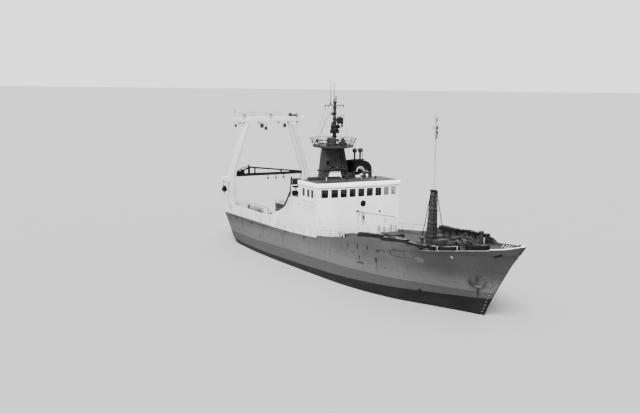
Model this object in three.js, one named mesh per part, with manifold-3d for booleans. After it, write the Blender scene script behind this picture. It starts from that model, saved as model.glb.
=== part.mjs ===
// Stern trawler, 46 m long, built as a 1:2 scale model.
// Every size below is the full-size ship's, in metres. The outermost group turns
// them into the model's millimetres. X runs forward, Y to port and Z up, from the
// waterline amidships.

import * as THREE from 'three';
import { mergeVertices } from 'three/addons/utils/BufferGeometryUtils.js';
import Module from 'manifold-3d';

const wasm = await Module();
wasm.setup();

const MM_PER_METRE = 500;            // 1:2 scale
const GAP = 0.0008;                  // between pieces that touch
const PORT = 1;
const STARBOARD = -1;
const SIDES = 16;                    // of a round piece
const SHAFT_SIDES = 32;              // of a shaft and its bearing

// Colours, as the monochrome photograph shows them
const WHITE = { color: 0xe9e9e7, roughness: 0.5, metalness: 0 };
const HULL_GREY = { color: 0x7d7d7c, roughness: 0.55, metalness: 0 };
const PALE_GREY = { color: 0xb9b9b7, roughness: 0.55, metalness: 0 };
const DECK_GREY = { color: 0x6f6f6d, roughness: 0.8, metalness: 0 };
const DARK = { color: 0x262626, roughness: 0.5, metalness: 0 };
const RUSTY = { color: 0x454341, roughness: 0.8, metalness: 0 };
const STEEL = { color: 0x6a6865, roughness: 0.6, metalness: 0.6 };
const BRONZE = { color: 0x9a8450, roughness: 0.4, metalness: 0.9 };

// Hull
const DECK_AFT = 3.4;
const BEAM_HALF = 4.7;
const PLATE = 0.12;                  // thickness of a wall or bulwark
const TRANSOM_X = -23.1;
const STATIONS = [
  // x, keel z, knee z, knee half-breadth, deck z, deck half-breadth, fullness below the knee
  { x: 22.45, keel: 5.44, kneeZ: 5.5, kneeY: 0.05, deckZ: 5.64, deckY: 0.22, full: 1.2 },
  { x: 21.8, keel: 4.78, kneeZ: 4.9, kneeY: 0.08, deckZ: 5.52, deckY: 0.68, full: 1.2 },
  { x: 20.8, keel: 3.48, kneeZ: 3.6, kneeY: 0.1, deckZ: 5.4, deckY: 1.28, full: 1.2 },
  { x: 19.4, keel: 1.57, kneeZ: 1.75, kneeY: 0.14, deckZ: 5.26, deckY: 2.0, full: 1.2 },
  { x: 18.4, keel: 0, kneeZ: 0.3, kneeY: 0.2, deckZ: 5.18, deckY: 2.5, full: 1.2 },
  { x: 17.15, keel: -2.2, kneeZ: 0, kneeY: 0.5, deckZ: 5.1, deckY: 3.05, full: 1.2 },
  { x: 15.4, keel: -3.6, kneeZ: 0, kneeY: 1.2, deckZ: 5.0, deckY: 3.7, full: 1.3 },
  { x: 13.4, keel: -3.95, kneeZ: 0, kneeY: 2.0, deckZ: 4.9, deckY: 4.07, full: 1.5 },
  { x: 11.2, keel: -4.0, kneeZ: 0, kneeY: 2.95, deckZ: 4.74, deckY: 4.3, full: 1.8 },
  { x: 9.1, keel: -4.05, kneeZ: 0, kneeY: 3.6, deckZ: 4.56, deckY: 4.48, full: 2.1 },
  { x: 5.9, keel: -4.1, kneeZ: 0, kneeY: 4.23, deckZ: 4.3, deckY: 4.62, full: 2.6 },
  { x: 2.2, keel: -4.15, kneeZ: 0, kneeY: 4.58, deckZ: 4.0, deckY: 4.68, full: 3.2 },
  { x: -1.3, keel: -4.2, kneeZ: 0, kneeY: 4.66, deckZ: 3.7, deckY: BEAM_HALF, full: 3.4 },
  { x: -6.8, keel: -4.2, kneeZ: 0, kneeY: 4.68, deckZ: 3.45, deckY: BEAM_HALF, full: 3.2 },
  { x: -11.8, keel: -4.2, kneeZ: 0, kneeY: 4.66, deckZ: DECK_AFT, deckY: BEAM_HALF, full: 2.6 },
  { x: -15.8, keel: -2.6, kneeZ: 0, kneeY: 4.5, deckZ: DECK_AFT, deckY: BEAM_HALF, full: 2.2 },
  { x: -18.8, keel: -0.95, kneeZ: 0, kneeY: 4.25, deckZ: DECK_AFT, deckY: BEAM_HALF, full: 2.3 },
  { x: -21.3, keel: -0.45, kneeZ: 0, kneeY: 3.95, deckZ: DECK_AFT, deckY: BEAM_HALF, full: 2.4 },
  { x: TRANSOM_X, keel: 0.1, kneeZ: 0.6, kneeY: 3.7, deckZ: DECK_AFT, deckY: BEAM_HALF, full: 2.4 },
];
const BILGE_STEPS = 6;
const SIDE_STEPS = 3;
const STEM_TOP = { x: 23.06, z: 6.4 };
const KEEL_Z = -4.2;
const KEEL_HALF = 0.16;
const RAMP = { half: 1.7, topX: -17.6, footX: -23.6, footZ: -0.35 };

// Bulwarks: height above the deck and outward lean along the ship
const FORE_BULWARK = [
  { x: 22.4, rise: 0.74, lean: 0.12 },
  { x: 22.0, rise: 0.5, lean: 0.34 },
  { x: 20.8, rise: 0.5, lean: 0.42 },
  { x: 19.4, rise: 0.47, lean: 0.42 },
  { x: 17.15, rise: 0.33, lean: 0.36 },
  { x: 15.0, rise: 0.17, lean: 0.26 },
  { x: 14.2, rise: 0.46, lean: 0.22 },
  { x: 13.4, rise: 0.55, lean: 0.18 },
  { x: 11.2, rise: 0.64, lean: 0.12 },
  { x: 9.1, rise: 0.72, lean: 0.08 },
  { x: 5.2, rise: 0.74, lean: 0.05 },
  { x: 3.6, rise: 0.3, lean: 0.02 },
  { x: -1.49, rise: 0.2, lean: 0 },
];
const AFT_BULWARK_TOP = 4.45;

// House and wheelhouse
const HOUSE = { front: -1.1, bend: 2.55, sweep: 0.2, aft: -7.2, deck: 7.0, deckThick: 0.1 };
const WHEELHOUSE = { aft: -5.2, top: 8.4, roof: 0.45, camber: 0.05, overhang: 0.14, sideHang: 0.06 };
const HOUSE_CORNER = HOUSE.front - HOUSE.sweep * (BEAM_HALF - HOUSE.bend);
const FRONT_WINDOWS = { count: 9, pitch: 0.975, width: 0.74, sill: 7.44, head: 8.26 };
const SIDE_WINDOWS = { xs: [-2.4, -3.2, -4.15], width: 0.56, sill: 7.38, head: 8.18 };
const AFT_WINDOWS = { ys: [-0.9, 0.9, 3.0], width: 0.6, sill: 7.55, head: 8.16 };
const PORTHOLE = { y: 0.23, z: 6.77, r: 0.23 };
const SIDE_PROFILE = [
  [WHEELHOUSE.aft, WHEELHOUSE.top], [WHEELHOUSE.aft, 7.15], [-6.87, 7.0], [-7.5, 6.5],
  [-8.19, 5.8], [-9.3, 5.3], [-10.48, 5.0], [-11.66, 4.5],
];

// Doors
const DOOR = { width: 0.72, thick: 0.06, standOff: 0.02, pin: 0.018, eye: 0.034 };
const HOUSE_DOOR = { y: -2.4, sill: 3.75, height: 1.85 };
const WHEELHOUSE_DOOR = { y: -2.9, sill: 7.22, height: 1.1 };

// Main mast
const MAST = { x: -6.45, footY: 1.5, headY: 0.72, headX: -6.72, top: 16.4, tip: 16.95 };
const MAST_LEG = { footX: 0.95, footY: 0.8, headX: 1.25, headY: 0.56 };
const PLATFORM = { z: 12.0, r: 2.05, under: 0.3, underR: 1.2, rim: 0.12 };
const MAST_HEAD_Z = PLATFORM.z - PLATFORM.under;
const MAST_WEB = { low: 9.85, half: 0.25 };
const MAST_BAR = { z: 9.62, out: 2.2, r: 0.09 };
const RADAR_UPPER = { x: -5.4, z: 14.6, length: 1.5 };
const SCANNER_TURN = 35;             // degrees, as the photograph shows the aerials
const RADAR_LOWER = { x: -6.0, y: 0.7, z: 12.75, length: 1.1 };
const DRUM = { x: -5.9, y: -0.7, r: 0.42, height: 0.86 };
const WHIPS = [{ y: -0.5, low: 16.0, top: 18.5 }, { y: -0.1, low: 16.3, top: 18.4 }];
const MAST_LOCKER = { x0: -6.75, x1: -6.2, low: 8.72, top: 9.4, half: 0.74, topHalf: 0.61, post: 0.05 };

// Funnel, behind the wheelhouse to port
const FUNNEL = { x0: -7.15, x1: -5.6, y0: 1.95, y1: 3.95, round: 0.9, shoulder: 9.5, top: 10.45, screenY: 0.8 };
const EXHAUST = { r: 0.1, head: 0.26, top: 11.7, ys: [2.35, 3.0] };

// Stern gantry
const GANTRY = { x: -21.4, half: 0.3, footY: 4.57, knee: 8.0, headY: 2.73, beamZ: 13.63, beamTop: 14.17 };
const LEG_LOW = 0.38;                // half-widths of a leg
const LEG_HIGH = 0.32;
const BRACKET = { out: 5.73, low: 6.93, high: 7.64 };
const TRUSS = { chordLow: 7.6, chordHigh: 7.84, apexY: -2.45, apexZ: 8.55, thick: 0.13 };
const BLOCK = { y: 5.5, pinZ: 6.66, r: 0.3, thick: 0.2, pin: 0.04 };

// Foremast
const FOREMAST = { x0: 10.25, x1: 11.25, topX0: 10.7, topX1: 11.2, footHalf: 0.31, topHalf: 0.17, top: 9.35 };
const LIGHT_POLE = { x: 11.02, r: 0.07, top: 16.0 };

// Deck gear
const WINDLASS = { x: 14.9, axisZ: 5.42, shaft: 0.1, half: 1.25 };
const WINCH = { x: -10.0, axisZ: 4.45, shaft: 0.12, flange: 0.78, core: 0.34 };
const FORE_HATCH = { x: 4.6, half: 0.8, rise: 0.4, lid: 0.1 };
const FISH_HATCH = { x: -14.4, half: 1.1, rise: 0.35, lid: 0.12 };
const HATCH_PIN = 0.02;
const FORE_BOLLARD_X = 12.6;
const AFT_BOLLARD_X = -16.6;
const ANCHOR = { x: 18.78, y: 0.95, z: 2.68, turn: 34, flare: 26, proud: 0.2 };

// Steering and propulsion
const PROPELLER = { x: -18.95, z: -2.55, r: 1.25, hub: 0.28, shaft: 0.16 };
const RUDDER = {
  x: -20.55, fore: 0.35, aft: 1.15, top: -1.1, bottom: -3.85, half: 0.13, stock: 0.14, pintle: 0.08,
};

// Solids

function solid(geometry) {
  const bare = geometry.clone();
  bare.deleteAttribute('normal');
  bare.deleteAttribute('uv');
  const merged = mergeVertices(bare, 1e-6);
  const index = merged.index.array;
  return new wasm.Manifold(new wasm.Mesh({
    numProp: 3,
    vertProperties: new Float32Array(merged.attributes.position.array),
    triVerts: new Uint32Array(index),
  }));
}

function geometryOf(body) {
  const mesh = body.getMesh();
  const geometry = new THREE.BufferGeometry();
  geometry.setAttribute('position', new THREE.BufferAttribute(new Float32Array(mesh.vertProperties), 3));
  geometry.setIndex(new THREE.BufferAttribute(new Uint32Array(mesh.triVerts), 1));
  geometry.computeVertexNormals();
  return geometry;
}

const joined = (bodies) => bodies.reduce((whole, body) => whole.add(body));

function box(x0, x1, y0, y1, z0, z1) {
  const geometry = new THREE.BoxGeometry(x1 - x0, y1 - y0, z1 - z0);
  geometry.translate((x0 + x1) / 2, (y0 + y1) / 2, (z0 + z1) / 2);
  return solid(geometry);
}

function outline(points) {
  return new THREE.Shape(points.map(([u, v]) => new THREE.Vector2(u, v)));
}

// An outline in X and Y, raised from z0 to z1
function prismZ(points, z0, z1) {
  const geometry = new THREE.ExtrudeGeometry(outline(points), { depth: z1 - z0, bevelEnabled: false });
  geometry.translate(0, 0, z0);
  return solid(geometry);
}

// An outline in X and Z, drawn out from y0 to y1
function prismY(points, y0, y1) {
  const geometry = new THREE.ExtrudeGeometry(outline(points), { depth: y1 - y0, bevelEnabled: false });
  geometry.rotateX(Math.PI / 2);
  geometry.translate(0, y1, 0);
  return solid(geometry);
}

// An outline in Y and Z, drawn out from x0 to x1
function prismX(points, x0, x1) {
  const geometry = new THREE.ExtrudeGeometry(outline(points), { depth: x1 - x0, bevelEnabled: false });
  const turn = new THREE.Matrix4().set(0, 0, 1, 0, 1, 0, 0, 0, 0, 1, 0, 0, 0, 0, 0, 1);
  geometry.applyMatrix4(turn);
  geometry.translate(x0, 0, 0);
  return solid(geometry);
}

// A round bar or cone between two points
function bar(from, to, r0, r1 = r0, sides = SIDES) {
  const start = new THREE.Vector3(...from);
  const span = new THREE.Vector3(...to).sub(start);
  const geometry = new THREE.CylinderGeometry(r1, r0, span.length(), sides);
  geometry.translate(0, span.length() / 2, 0);
  const turn = new THREE.Quaternion().setFromUnitVectors(new THREE.Vector3(0, 1, 0), span.normalize());
  geometry.applyQuaternion(turn);
  geometry.translate(start.x, start.y, start.z);
  return solid(geometry);
}

// A profile of radius and height turned round a vertical line
function turned(profile, x, y, sides = SIDES) {
  const points = profile.map(([r, z]) => new THREE.Vector2(r, z));
  const geometry = new THREE.LatheGeometry(points, sides);
  geometry.rotateX(Math.PI / 2);
  geometry.translate(x, y, 0);
  return solid(geometry);
}

// A shaft or pin, and the bearing hole that leaves it a little play
const shaftBar = (from, to, r) => bar(from, to, r, r, SHAFT_SIDES);
const bearing = (from, to, r) => shaftBar(from, to, (r + GAP) / Math.cos(Math.PI / SHAFT_SIDES));

// A closed skin over rings of equally many points, each ring's points in the same order
function loft(rings) {
  const count = rings[0].length;
  const positions = rings.flat(2);
  const index = [];
  for (let ring = 0; ring + 1 < rings.length; ring += 1) {
    for (let step = 0; step < count; step += 1) {
      const a = ring * count + step;
      const b = ring * count + (step + 1) % count;
      index.push(a, a + count, b, b, a + count, b + count);
    }
  }
  const last = (rings.length - 1) * count;
  for (let low = 0, high = count - 1; low + 1 < high; low += 1, high -= 1) {
    index.push(low, low + 1, high);
    index.push(last + low, last + high, last + low + 1);
    if (low + 1 < high - 1) {
      index.push(low + 1, high - 1, high);
      index.push(last + low + 1, last + high, last + high - 1);
    }
  }
  const geometry = new THREE.BufferGeometry();
  geometry.setAttribute('position', new THREE.BufferAttribute(new Float32Array(positions), 3));
  geometry.setIndex(index);
  const body = solid(geometry);
  if (body.volume() > 0) return body;
  const flipped = index.map((value, place) => index[place - place % 3 + [0, 2, 1][place % 3]]);
  geometry.setIndex(flipped);
  return solid(geometry);
}

const shifted = (body, dx, dy, dz) => body.translate([dx, dy, dz]);
const mirrored = (body) => body.mirror([0, 1, 0]);
const onSide = (body, side) => (side === PORT ? body : mirrored(body));

// A value read off a table of stations, straight between its rows
function readOff(table, x, column) {
  const next = table.findIndex((row) => row.x <= x);
  if (next <= 0) return table[next === 0 ? 0 : table.length - 1][column];
  const [ahead, astern] = [table[next - 1], table[next]];
  const share = (ahead.x - x) / (ahead.x - astern.x);
  return ahead[column] + share * (astern[column] - ahead[column]);
}

// Half of a hull section, from the keel up to the deck edge
function halfSection({ x, keel, kneeZ, kneeY, deckZ: top, deckY: edge, full }) {
  const points = [];
  for (let step = 0; step <= BILGE_STEPS; step += 1) {
    const angle = (step / BILGE_STEPS) * Math.PI / 2;
    const out = Math.sin(angle) ** (2 / full);
    const down = Math.cos(angle) ** (2 / full);
    const y = Math.max(kneeY * out, Math.min(KEEL_HALF, kneeY * 0.5) * (1 - step / BILGE_STEPS));
    points.push([x, y, kneeZ + (keel - kneeZ) * down]);
  }
  for (let step = 1; step <= SIDE_STEPS; step += 1) {
    const share = step / SIDE_STEPS;
    points.push([x, kneeY + (edge - kneeY) * share ** 1.1, kneeZ + (top - kneeZ) * share]);
  }
  return points;
}

// A table filled out with rows between its own, on a smooth curve through them
function faired(table, between) {
  const rows = [];
  table.forEach((row, place) => {
    rows.push(row);
    if (place === 0 || place + 2 >= table.length) return;
    const [before, after, beyond] = [table[place - 1], table[place + 1], table[place + 2]];
    for (let step = 1; step <= between; step += 1) {
      const t = step / (between + 1);
      const middle = {};
      for (const key of Object.keys(row)) {
        const [a, b, c, d] = [before[key], row[key], after[key], beyond[key]];
        middle[key] = 0.5 * (2 * b + (c - a) * t + (2 * a - 5 * b + 4 * c - d) * t ** 2
          + (3 * b - a - 3 * c + d) * t ** 3);
      }
      rows.push(middle);
    }
  });
  return rows;
}

const FAIR_STATIONS = faired(STATIONS, 1);

const deckZ = (x) => readOff(FAIR_STATIONS, x, 'deckZ');
const deckY = (x) => readOff(FAIR_STATIONS, x, 'deckY');

function hullShell() {
  const rings = FAIR_STATIONS.map((station) => {
    const half = halfSection(station);
    const other = half.map(([x, y, z]) => [x, -y, z]).reverse();
    return [...half, ...other];
  });
  return loft(rings);
}

// Bar keel and skeg, with the sole piece that carries the rudder's heel
function keelAndSkeg() {
  const bottom = KEEL_Z - 0.25;
  const fin = prismY([
    [14.6, -3.75], [13.4, bottom + 0.2], [12, bottom], [-21.2, bottom], [-21.2, bottom + 0.3],
    [-18.2, bottom + 0.35], [-18.2, PROPELLER.z - 0.45], [-17.9, PROPELLER.z], [-18.2, PROPELLER.z + 0.45],
    [-18.2, -1], [-14, -1], [-12, -3.2], [12, -3.6],
  ], -KEEL_HALF, KEEL_HALF);
  const boss = bar([-14, 0, PROPELLER.z], [-18.3, 0, PROPELLER.z], 0.45, 0.3);
  return joined([fin, boss]);
}

function rampCut() {
  const slope = [
    [RAMP.topX, DECK_AFT], [RAMP.footX, RAMP.footZ], [RAMP.footX, DECK_AFT + 1], [RAMP.topX, DECK_AFT + 1],
  ];
  return prismY(slope, -RAMP.half, RAMP.half);
}

const bareHull = hullShell();
const hullBody = bareHull
  .add(keelAndSkeg())
  .subtract(rampCut())
  .subtract(bearing([RUDDER.x, 0, -2], [RUDDER.x, 0, 0.6], RUDDER.stock))
  .subtract(bearing([RUDDER.x, 0, -4.35], [RUDDER.x, 0, -3], RUDDER.pintle))
  .subtract(bearing([-18, 0, PROPELLER.z], [-19, 0, PROPELLER.z], PROPELLER.shaft));

// All that lies below the deck, wider than the hull
const belowDeck = loft(FAIR_STATIONS.map(({ x, deckZ: z }) => [
  [x, -2 * BEAM_HALF, KEEL_Z], [x, 2 * BEAM_HALF, KEEL_Z], [x, 2 * BEAM_HALF, z], [x, -2 * BEAM_HALF, z],
]));

// A piece that stands on the deck, and one that lies against the hull's side
const standing = (body) => body.subtract(shifted(belowDeck, 0, 0, GAP));
const againstSide = (body, side) => body.subtract(shifted(bareHull, 0, side * GAP, 0));

// Bulwarks

function foreBulwark(side) {
  const rings = FORE_BULWARK.map(({ x, rise, lean }) => {
    const z = deckZ(x);
    const y = deckY(x);
    const forward = x > 22 ? (STEM_TOP.x - x) : 0;
    const inner = Math.max(y - PLATE, GAP);
    const innerTop = Math.max(y + lean - PLATE, GAP);
    return [
      [x, side * inner, z - 0.05], [x, side * y, z - 0.05],
      [x + forward, side * (y + lean * (forward ? 0.3 : 1)), z + rise],
      [x + forward, side * (forward ? GAP : innerTop), z + rise],
    ];
  });
  return standing(loft(rings));
}

function aftBulwark(side) {
  const start = SIDE_PROFILE[SIDE_PROFILE.length - 1][0] - GAP;
  const wall = box(TRANSOM_X, start, BEAM_HALF - PLATE, BEAM_HALF, DECK_AFT + GAP, AFT_BULWARK_TOP);
  const quarter = box(TRANSOM_X, TRANSOM_X + PLATE, RAMP.half, BEAM_HALF, DECK_AFT + GAP, AFT_BULWARK_TOP);
  const rampSide = box(TRANSOM_X, RAMP.topX - 1.5, RAMP.half, RAMP.half + PLATE, DECK_AFT + GAP, 4.1);
  return onSide(standing(joined([wall, quarter, rampSide])), side);
}

// House

function frontWall() {
  const corner = BEAM_HALF;
  const plan = [
    [HOUSE.front, -HOUSE.bend], [HOUSE.front, HOUSE.bend], [HOUSE_CORNER, corner],
    [HOUSE_CORNER - PLATE, corner], [HOUSE.front - PLATE, HOUSE.bend],
    [HOUSE.front - PLATE, -HOUSE.bend], [HOUSE_CORNER - PLATE, -corner], [HOUSE_CORNER, -corner],
  ];
  let wall = standing(prismZ(plan, 3.3, WHEELHOUSE.top));
  const { count, pitch, width, sill, head } = FRONT_WINDOWS;
  for (let place = 0; place < count; place += 1) {
    const y = (place - (count - 1) / 2) * pitch;
    wall = wall.subtract(box(-3, 0, y - width / 2, y + width / 2, sill, head));
  }
  return wall.subtract(bar([-3, PORTHOLE.y, PORTHOLE.z], [0, PORTHOLE.y, PORTHOLE.z], PORTHOLE.r));
}

function sideWall(side) {
  const fore = HOUSE_CORNER - PLATE - GAP;
  const aft = SIDE_PROFILE[SIDE_PROFILE.length - 1][0];
  const profile = [[fore, 3.2], [fore, WHEELHOUSE.top], ...SIDE_PROFILE, [aft, 3.2]];
  let wall = standing(prismY(profile, BEAM_HALF - PLATE, BEAM_HALF));
  for (const x of SIDE_WINDOWS.xs) {
    const half = SIDE_WINDOWS.width / 2;
    wall = wall.subtract(box(x - half, x + half, 4, 5, SIDE_WINDOWS.sill, SIDE_WINDOWS.head));
  }
  return onSide(wall, side);
}

const INNER_Y = BEAM_HALF - PLATE - GAP;

// Two lugs and a pin for a door's hinge, on the aft face of a wall
function hingePost(wallX, y, sill, height) {
  const axisX = wallX - DOOR.standOff - DOOR.thick / 2;
  const pin = shaftBar([axisX, y, sill - 0.08], [axisX, y, sill + height + 0.08], DOOR.pin);
  const lugs = [sill - 0.08, sill + height + 0.04].map((z) => (
    box(axisX - DOOR.pin, wallX + 0.02, y - 0.03, y + 0.03, z, z + 0.04)
  ));
  return joined([pin, ...lugs]);
}

function doorLeaf(wallX, { y, sill, height }) {
  const axisX = wallX - DOOR.standOff - DOOR.thick / 2;
  const leaf = box(
    wallX - DOOR.standOff - DOOR.thick, wallX - DOOR.standOff,
    y + 0.02, y + DOOR.width + 0.12, sill, sill + height,
  );
  const eye = bar([axisX, y, sill + 0.02], [axisX, y, sill + height - 0.02], DOOR.eye);
  const bore = bearing([axisX, y, sill - 1], [axisX, y, sill + height + 1], DOOR.pin);
  const handle = bar(
    [axisX - 0.12, y + DOOR.width, sill + height / 2 - 0.1],
    [axisX - 0.12, y + DOOR.width, sill + height / 2 + 0.1], 0.02,
  );
  const arm = box(axisX - 0.12, axisX, y + DOOR.width - 0.02, y + DOOR.width + 0.02,
    sill + height / 2 - 0.02, sill + height / 2 + 0.02);
  return joined([leaf, eye, handle, arm]).subtract(bore);
}

// The doorway is a little smaller than the leaf that covers it
const doorway = (wallX, { y, sill, height }) => (
  box(wallX - 0.5, wallX + 0.5, y + 0.08, y + DOOR.width + 0.06, sill + 0.06, sill + height - 0.06)
);

function houseAftWall() {
  const wall = standing(box(HOUSE.aft, HOUSE.aft + PLATE, -INNER_Y, INNER_Y, 3.2, HOUSE.deck - GAP));
  const { y, sill, height } = HOUSE_DOOR;
  return wall.subtract(doorway(HOUSE.aft, HOUSE_DOOR)).add(hingePost(HOUSE.aft, y, sill, height));
}

function bridgeDeck() {
  const corner = INNER_Y;
  const foreX = HOUSE.front - PLATE - GAP * 2;
  const cornerX = HOUSE_CORNER - PLATE - GAP * 2;
  const plan = [
    [HOUSE.aft, -corner], [cornerX, -corner], [foreX, -HOUSE.bend],
    [foreX, HOUSE.bend], [cornerX, corner], [HOUSE.aft, corner],
  ];
  return prismZ(plan, HOUSE.deck, HOUSE.deck + HOUSE.deckThick);
}

const BRIDGE_FLOOR = HOUSE.deck + HOUSE.deckThick;

function wheelhouseAftWall() {
  const fore = WHEELHOUSE.aft + PLATE;
  let wall = box(WHEELHOUSE.aft, fore, -INNER_Y, INNER_Y, BRIDGE_FLOOR + GAP, WHEELHOUSE.top - GAP);
  for (const y of AFT_WINDOWS.ys) {
    const half = AFT_WINDOWS.width / 2;
    wall = wall.subtract(box(-6, -5, y - half, y + half, AFT_WINDOWS.sill, AFT_WINDOWS.head));
  }
  const { y, sill, height } = WHEELHOUSE_DOOR;
  return wall.subtract(doorway(WHEELHOUSE.aft, WHEELHOUSE_DOOR))
    .add(hingePost(WHEELHOUSE.aft, y, sill, height));
}

function wheelhouseRoof() {
  const { overhang, sideHang, top, roof, camber } = WHEELHOUSE;
  const edge = BEAM_HALF + sideHang;
  const plan = [
    [WHEELHOUSE.aft - overhang, -edge], [HOUSE_CORNER + overhang, -edge],
    [HOUSE.front + overhang, -HOUSE.bend], [HOUSE.front + overhang, HOUSE.bend],
    [HOUSE_CORNER + overhang, edge], [WHEELHOUSE.aft - overhang, edge],
  ];
  const arch = [[-edge, top + GAP], [edge, top + GAP]];
  for (let step = 0; step <= 8; step += 1) {
    const y = edge - (step / 8) * 2 * edge;
    arch.push([y, top + roof + camber * (1 - (y / edge) ** 2)]);
  }
  return prismZ(plan, top - 1, top + 2).intersect(prismX(arch, -8, 0));
}

// Main mast

// The legs come together and grow deeper aft towards their head
function mastLeg(side, grown = 0) {
  const foot = BRIDGE_FLOOR + GAP;
  const head = MAST_HEAD_Z - GAP;
  const ring = (z, x, y, halfX, halfY) => [
    [x - halfX - grown, y - halfY - grown, z], [x + halfX + grown, y - halfY - grown, z],
    [x + halfX + grown, y + halfY + grown, z], [x - halfX - grown, y + halfY + grown, z],
  ];
  const { footX, footY, headX, headY } = MAST_LEG;
  return onSide(loft([
    ring(foot, MAST.x, MAST.footY, footX / 2, footY / 2),
    ring(head, MAST.headX, MAST.headY, headX / 2, headY / 2),
  ]), side);
}

// The plated web and the bar that tie the two legs
function mastWeb() {
  const head = MAST_HEAD_Z - GAP;
  const span = head - BRIDGE_FLOOR;
  const innerAt = (z) => {
    const share = (z - BRIDGE_FLOOR) / span;
    const centre = MAST.footY + share * (MAST.headY - MAST.footY);
    return centre - (MAST_LEG.footY + share * (MAST_LEG.headY - MAST_LEG.footY)) / 2 - GAP;
  };
  const low = MAST_WEB.low;
  return prismX([
    [-innerAt(low), low], [innerAt(low), low], [innerAt(head), head], [-innerAt(head), head],
  ], MAST.x - MAST_WEB.half, MAST.x + MAST_WEB.half);
}

// The bar is let into the fore faces of the legs
function mastBar() {
  const { z, out, r } = MAST_BAR;
  const x = MAST.x + 0.38 + r;
  const whole = bar([x, -out, z], [x, out * 0.45, z], r, r, 12);
  return whole.subtract(mastLeg(PORT, GAP)).subtract(mastLeg(STARBOARD, GAP));
}

function mastPlatform() {
  const { z, r, underR, rim } = PLATFORM;
  return turned([
    [0, MAST_HEAD_Z], [underR, MAST_HEAD_Z], [r, z - rim], [r, z], [0, z],
  ], MAST.headX, 0, 24);
}

function mastPole() {
  const low = PLATFORM.z + GAP;
  const pole = bar([MAST.x, 0, low], [MAST.x, 0, MAST.top], 0.18, 0.14);
  const tip = bar([MAST.x + 0.08, 0.06, MAST.top - 0.1], [MAST.x + 0.08, 0.06, MAST.tip], 0.07, 0.07, 8);
  const yard = bar([MAST.x, -1.2, 16.05], [MAST.x, 1.1, 16.05], 0.045, 0.045, 8);
  const gearbox = box(MAST.x - 0.25, MAST.x + 0.25, -0.3, 0.3, 13.4, 14.1);
  const lamps = [14.25, 15.2].map((z) => (
    bar([MAST.x, -0.3, z - 0.12], [MAST.x, -0.3, z + 0.12], 0.11, 0.11, 10)
  ));
  const lampArms = [14.25, 15.2].map((z) => box(MAST.x - 0.05, MAST.x + 0.05, -0.3, 0, z - 0.05, z + 0.05));
  const shelf = box(MAST.x, RADAR_UPPER.x + 0.3, -0.22, 0.22, RADAR_UPPER.z - 0.12, RADAR_UPPER.z);
  const strut = bar([MAST.x, 0, 13.7], [RADAR_UPPER.x + 0.1, 0, RADAR_UPPER.z - 0.05], 0.07, 0.07, 8);
  const pedestal = bar(
    [RADAR_UPPER.x, 0, RADAR_UPPER.z - 0.02], [RADAR_UPPER.x, 0, RADAR_UPPER.z + 0.32], 0.2, 0.17,
  );
  const whips = WHIPS.map(({ y, low: foot, top }) => bar([MAST.x, y, foot], [MAST.x, y, top], 0.035, 0.03, 8));
  return joined([pole, tip, yard, gearbox, ...lamps, ...lampArms, shelf, strut, pedestal, ...whips]);
}

// A turning bar aerial on its spindle
function scanner(x, y, z, length) {
  const array = prismX([
    [-length / 2, z + 0.06], [-length / 2 + 0.1, z + 0.02], [length / 2 - 0.1, z + 0.02],
    [length / 2, z + 0.06], [length / 2, z + 0.2], [-length / 2, z + 0.2],
  ], x - 0.1, x + 0.1);
  const spindle = bar([x, 0, z + GAP], [x, 0, z + 0.1], 0.06);
  const turnedArray = shifted(shifted(array, -x, 0, 0).rotate([0, 0, SCANNER_TURN]), x, 0, 0);
  return shifted(joined([turnedArray, spindle]), 0, y, 0);
}

function radarPedestal() {
  const { x, y, z } = RADAR_LOWER;
  const base = box(x - 0.3, x + 0.3, y - 0.3, y + 0.3, PLATFORM.z + GAP, PLATFORM.z + 0.4);
  return joined([base, bar([x, y, PLATFORM.z + 0.3], [x, y, z], 0.2, 0.16)]);
}

// A drum housing on the mast platform, to starboard
function platformDrum() {
  const low = PLATFORM.z + GAP;
  const { x, y, r, height } = DRUM;
  const high = low + height;
  return turned([[0, low], [r, low], [r, high - 0.06], [r - 0.06, high], [0, high]], x, y);
}

// Funnel

// Its outboard shoulder is rounded over, and a screen joins it to the mast's leg
function funnelCasing() {
  const { x0, x1, y0, y1, round, shoulder, top, screenY } = FUNNEL;
  const shape = [[y0, BRIDGE_FLOOR + GAP], [y1, BRIDGE_FLOOR + GAP]];
  for (let step = 0; step <= 6; step += 1) {
    const angle = (step / 6) * Math.PI / 2;
    shape.push([y1 - round + round * Math.cos(angle), shoulder + (top - shoulder) * Math.sin(angle)]);
  }
  shape.push([y0, top]);
  const screen = box(x0, x0 + 0.18, screenY, y0 + 0.1, BRIDGE_FLOOR + GAP, top);
  return joined([prismX(shape, x0, x1), screen]).subtract(mastLeg(PORT, GAP));
}

function exhaust(y) {
  const x = (FUNNEL.x0 + FUNNEL.x1) / 2;
  const low = FUNNEL.top + GAP;
  const { r, head, top } = EXHAUST;
  return turned([
    [0, low], [r, low], [r, top - 0.5], [head * 0.8, top - 0.42], [head, top - 0.25],
    [head * 0.8, top - 0.08], [0, top],
  ], x, y);
}

// Stern gantry

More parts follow.
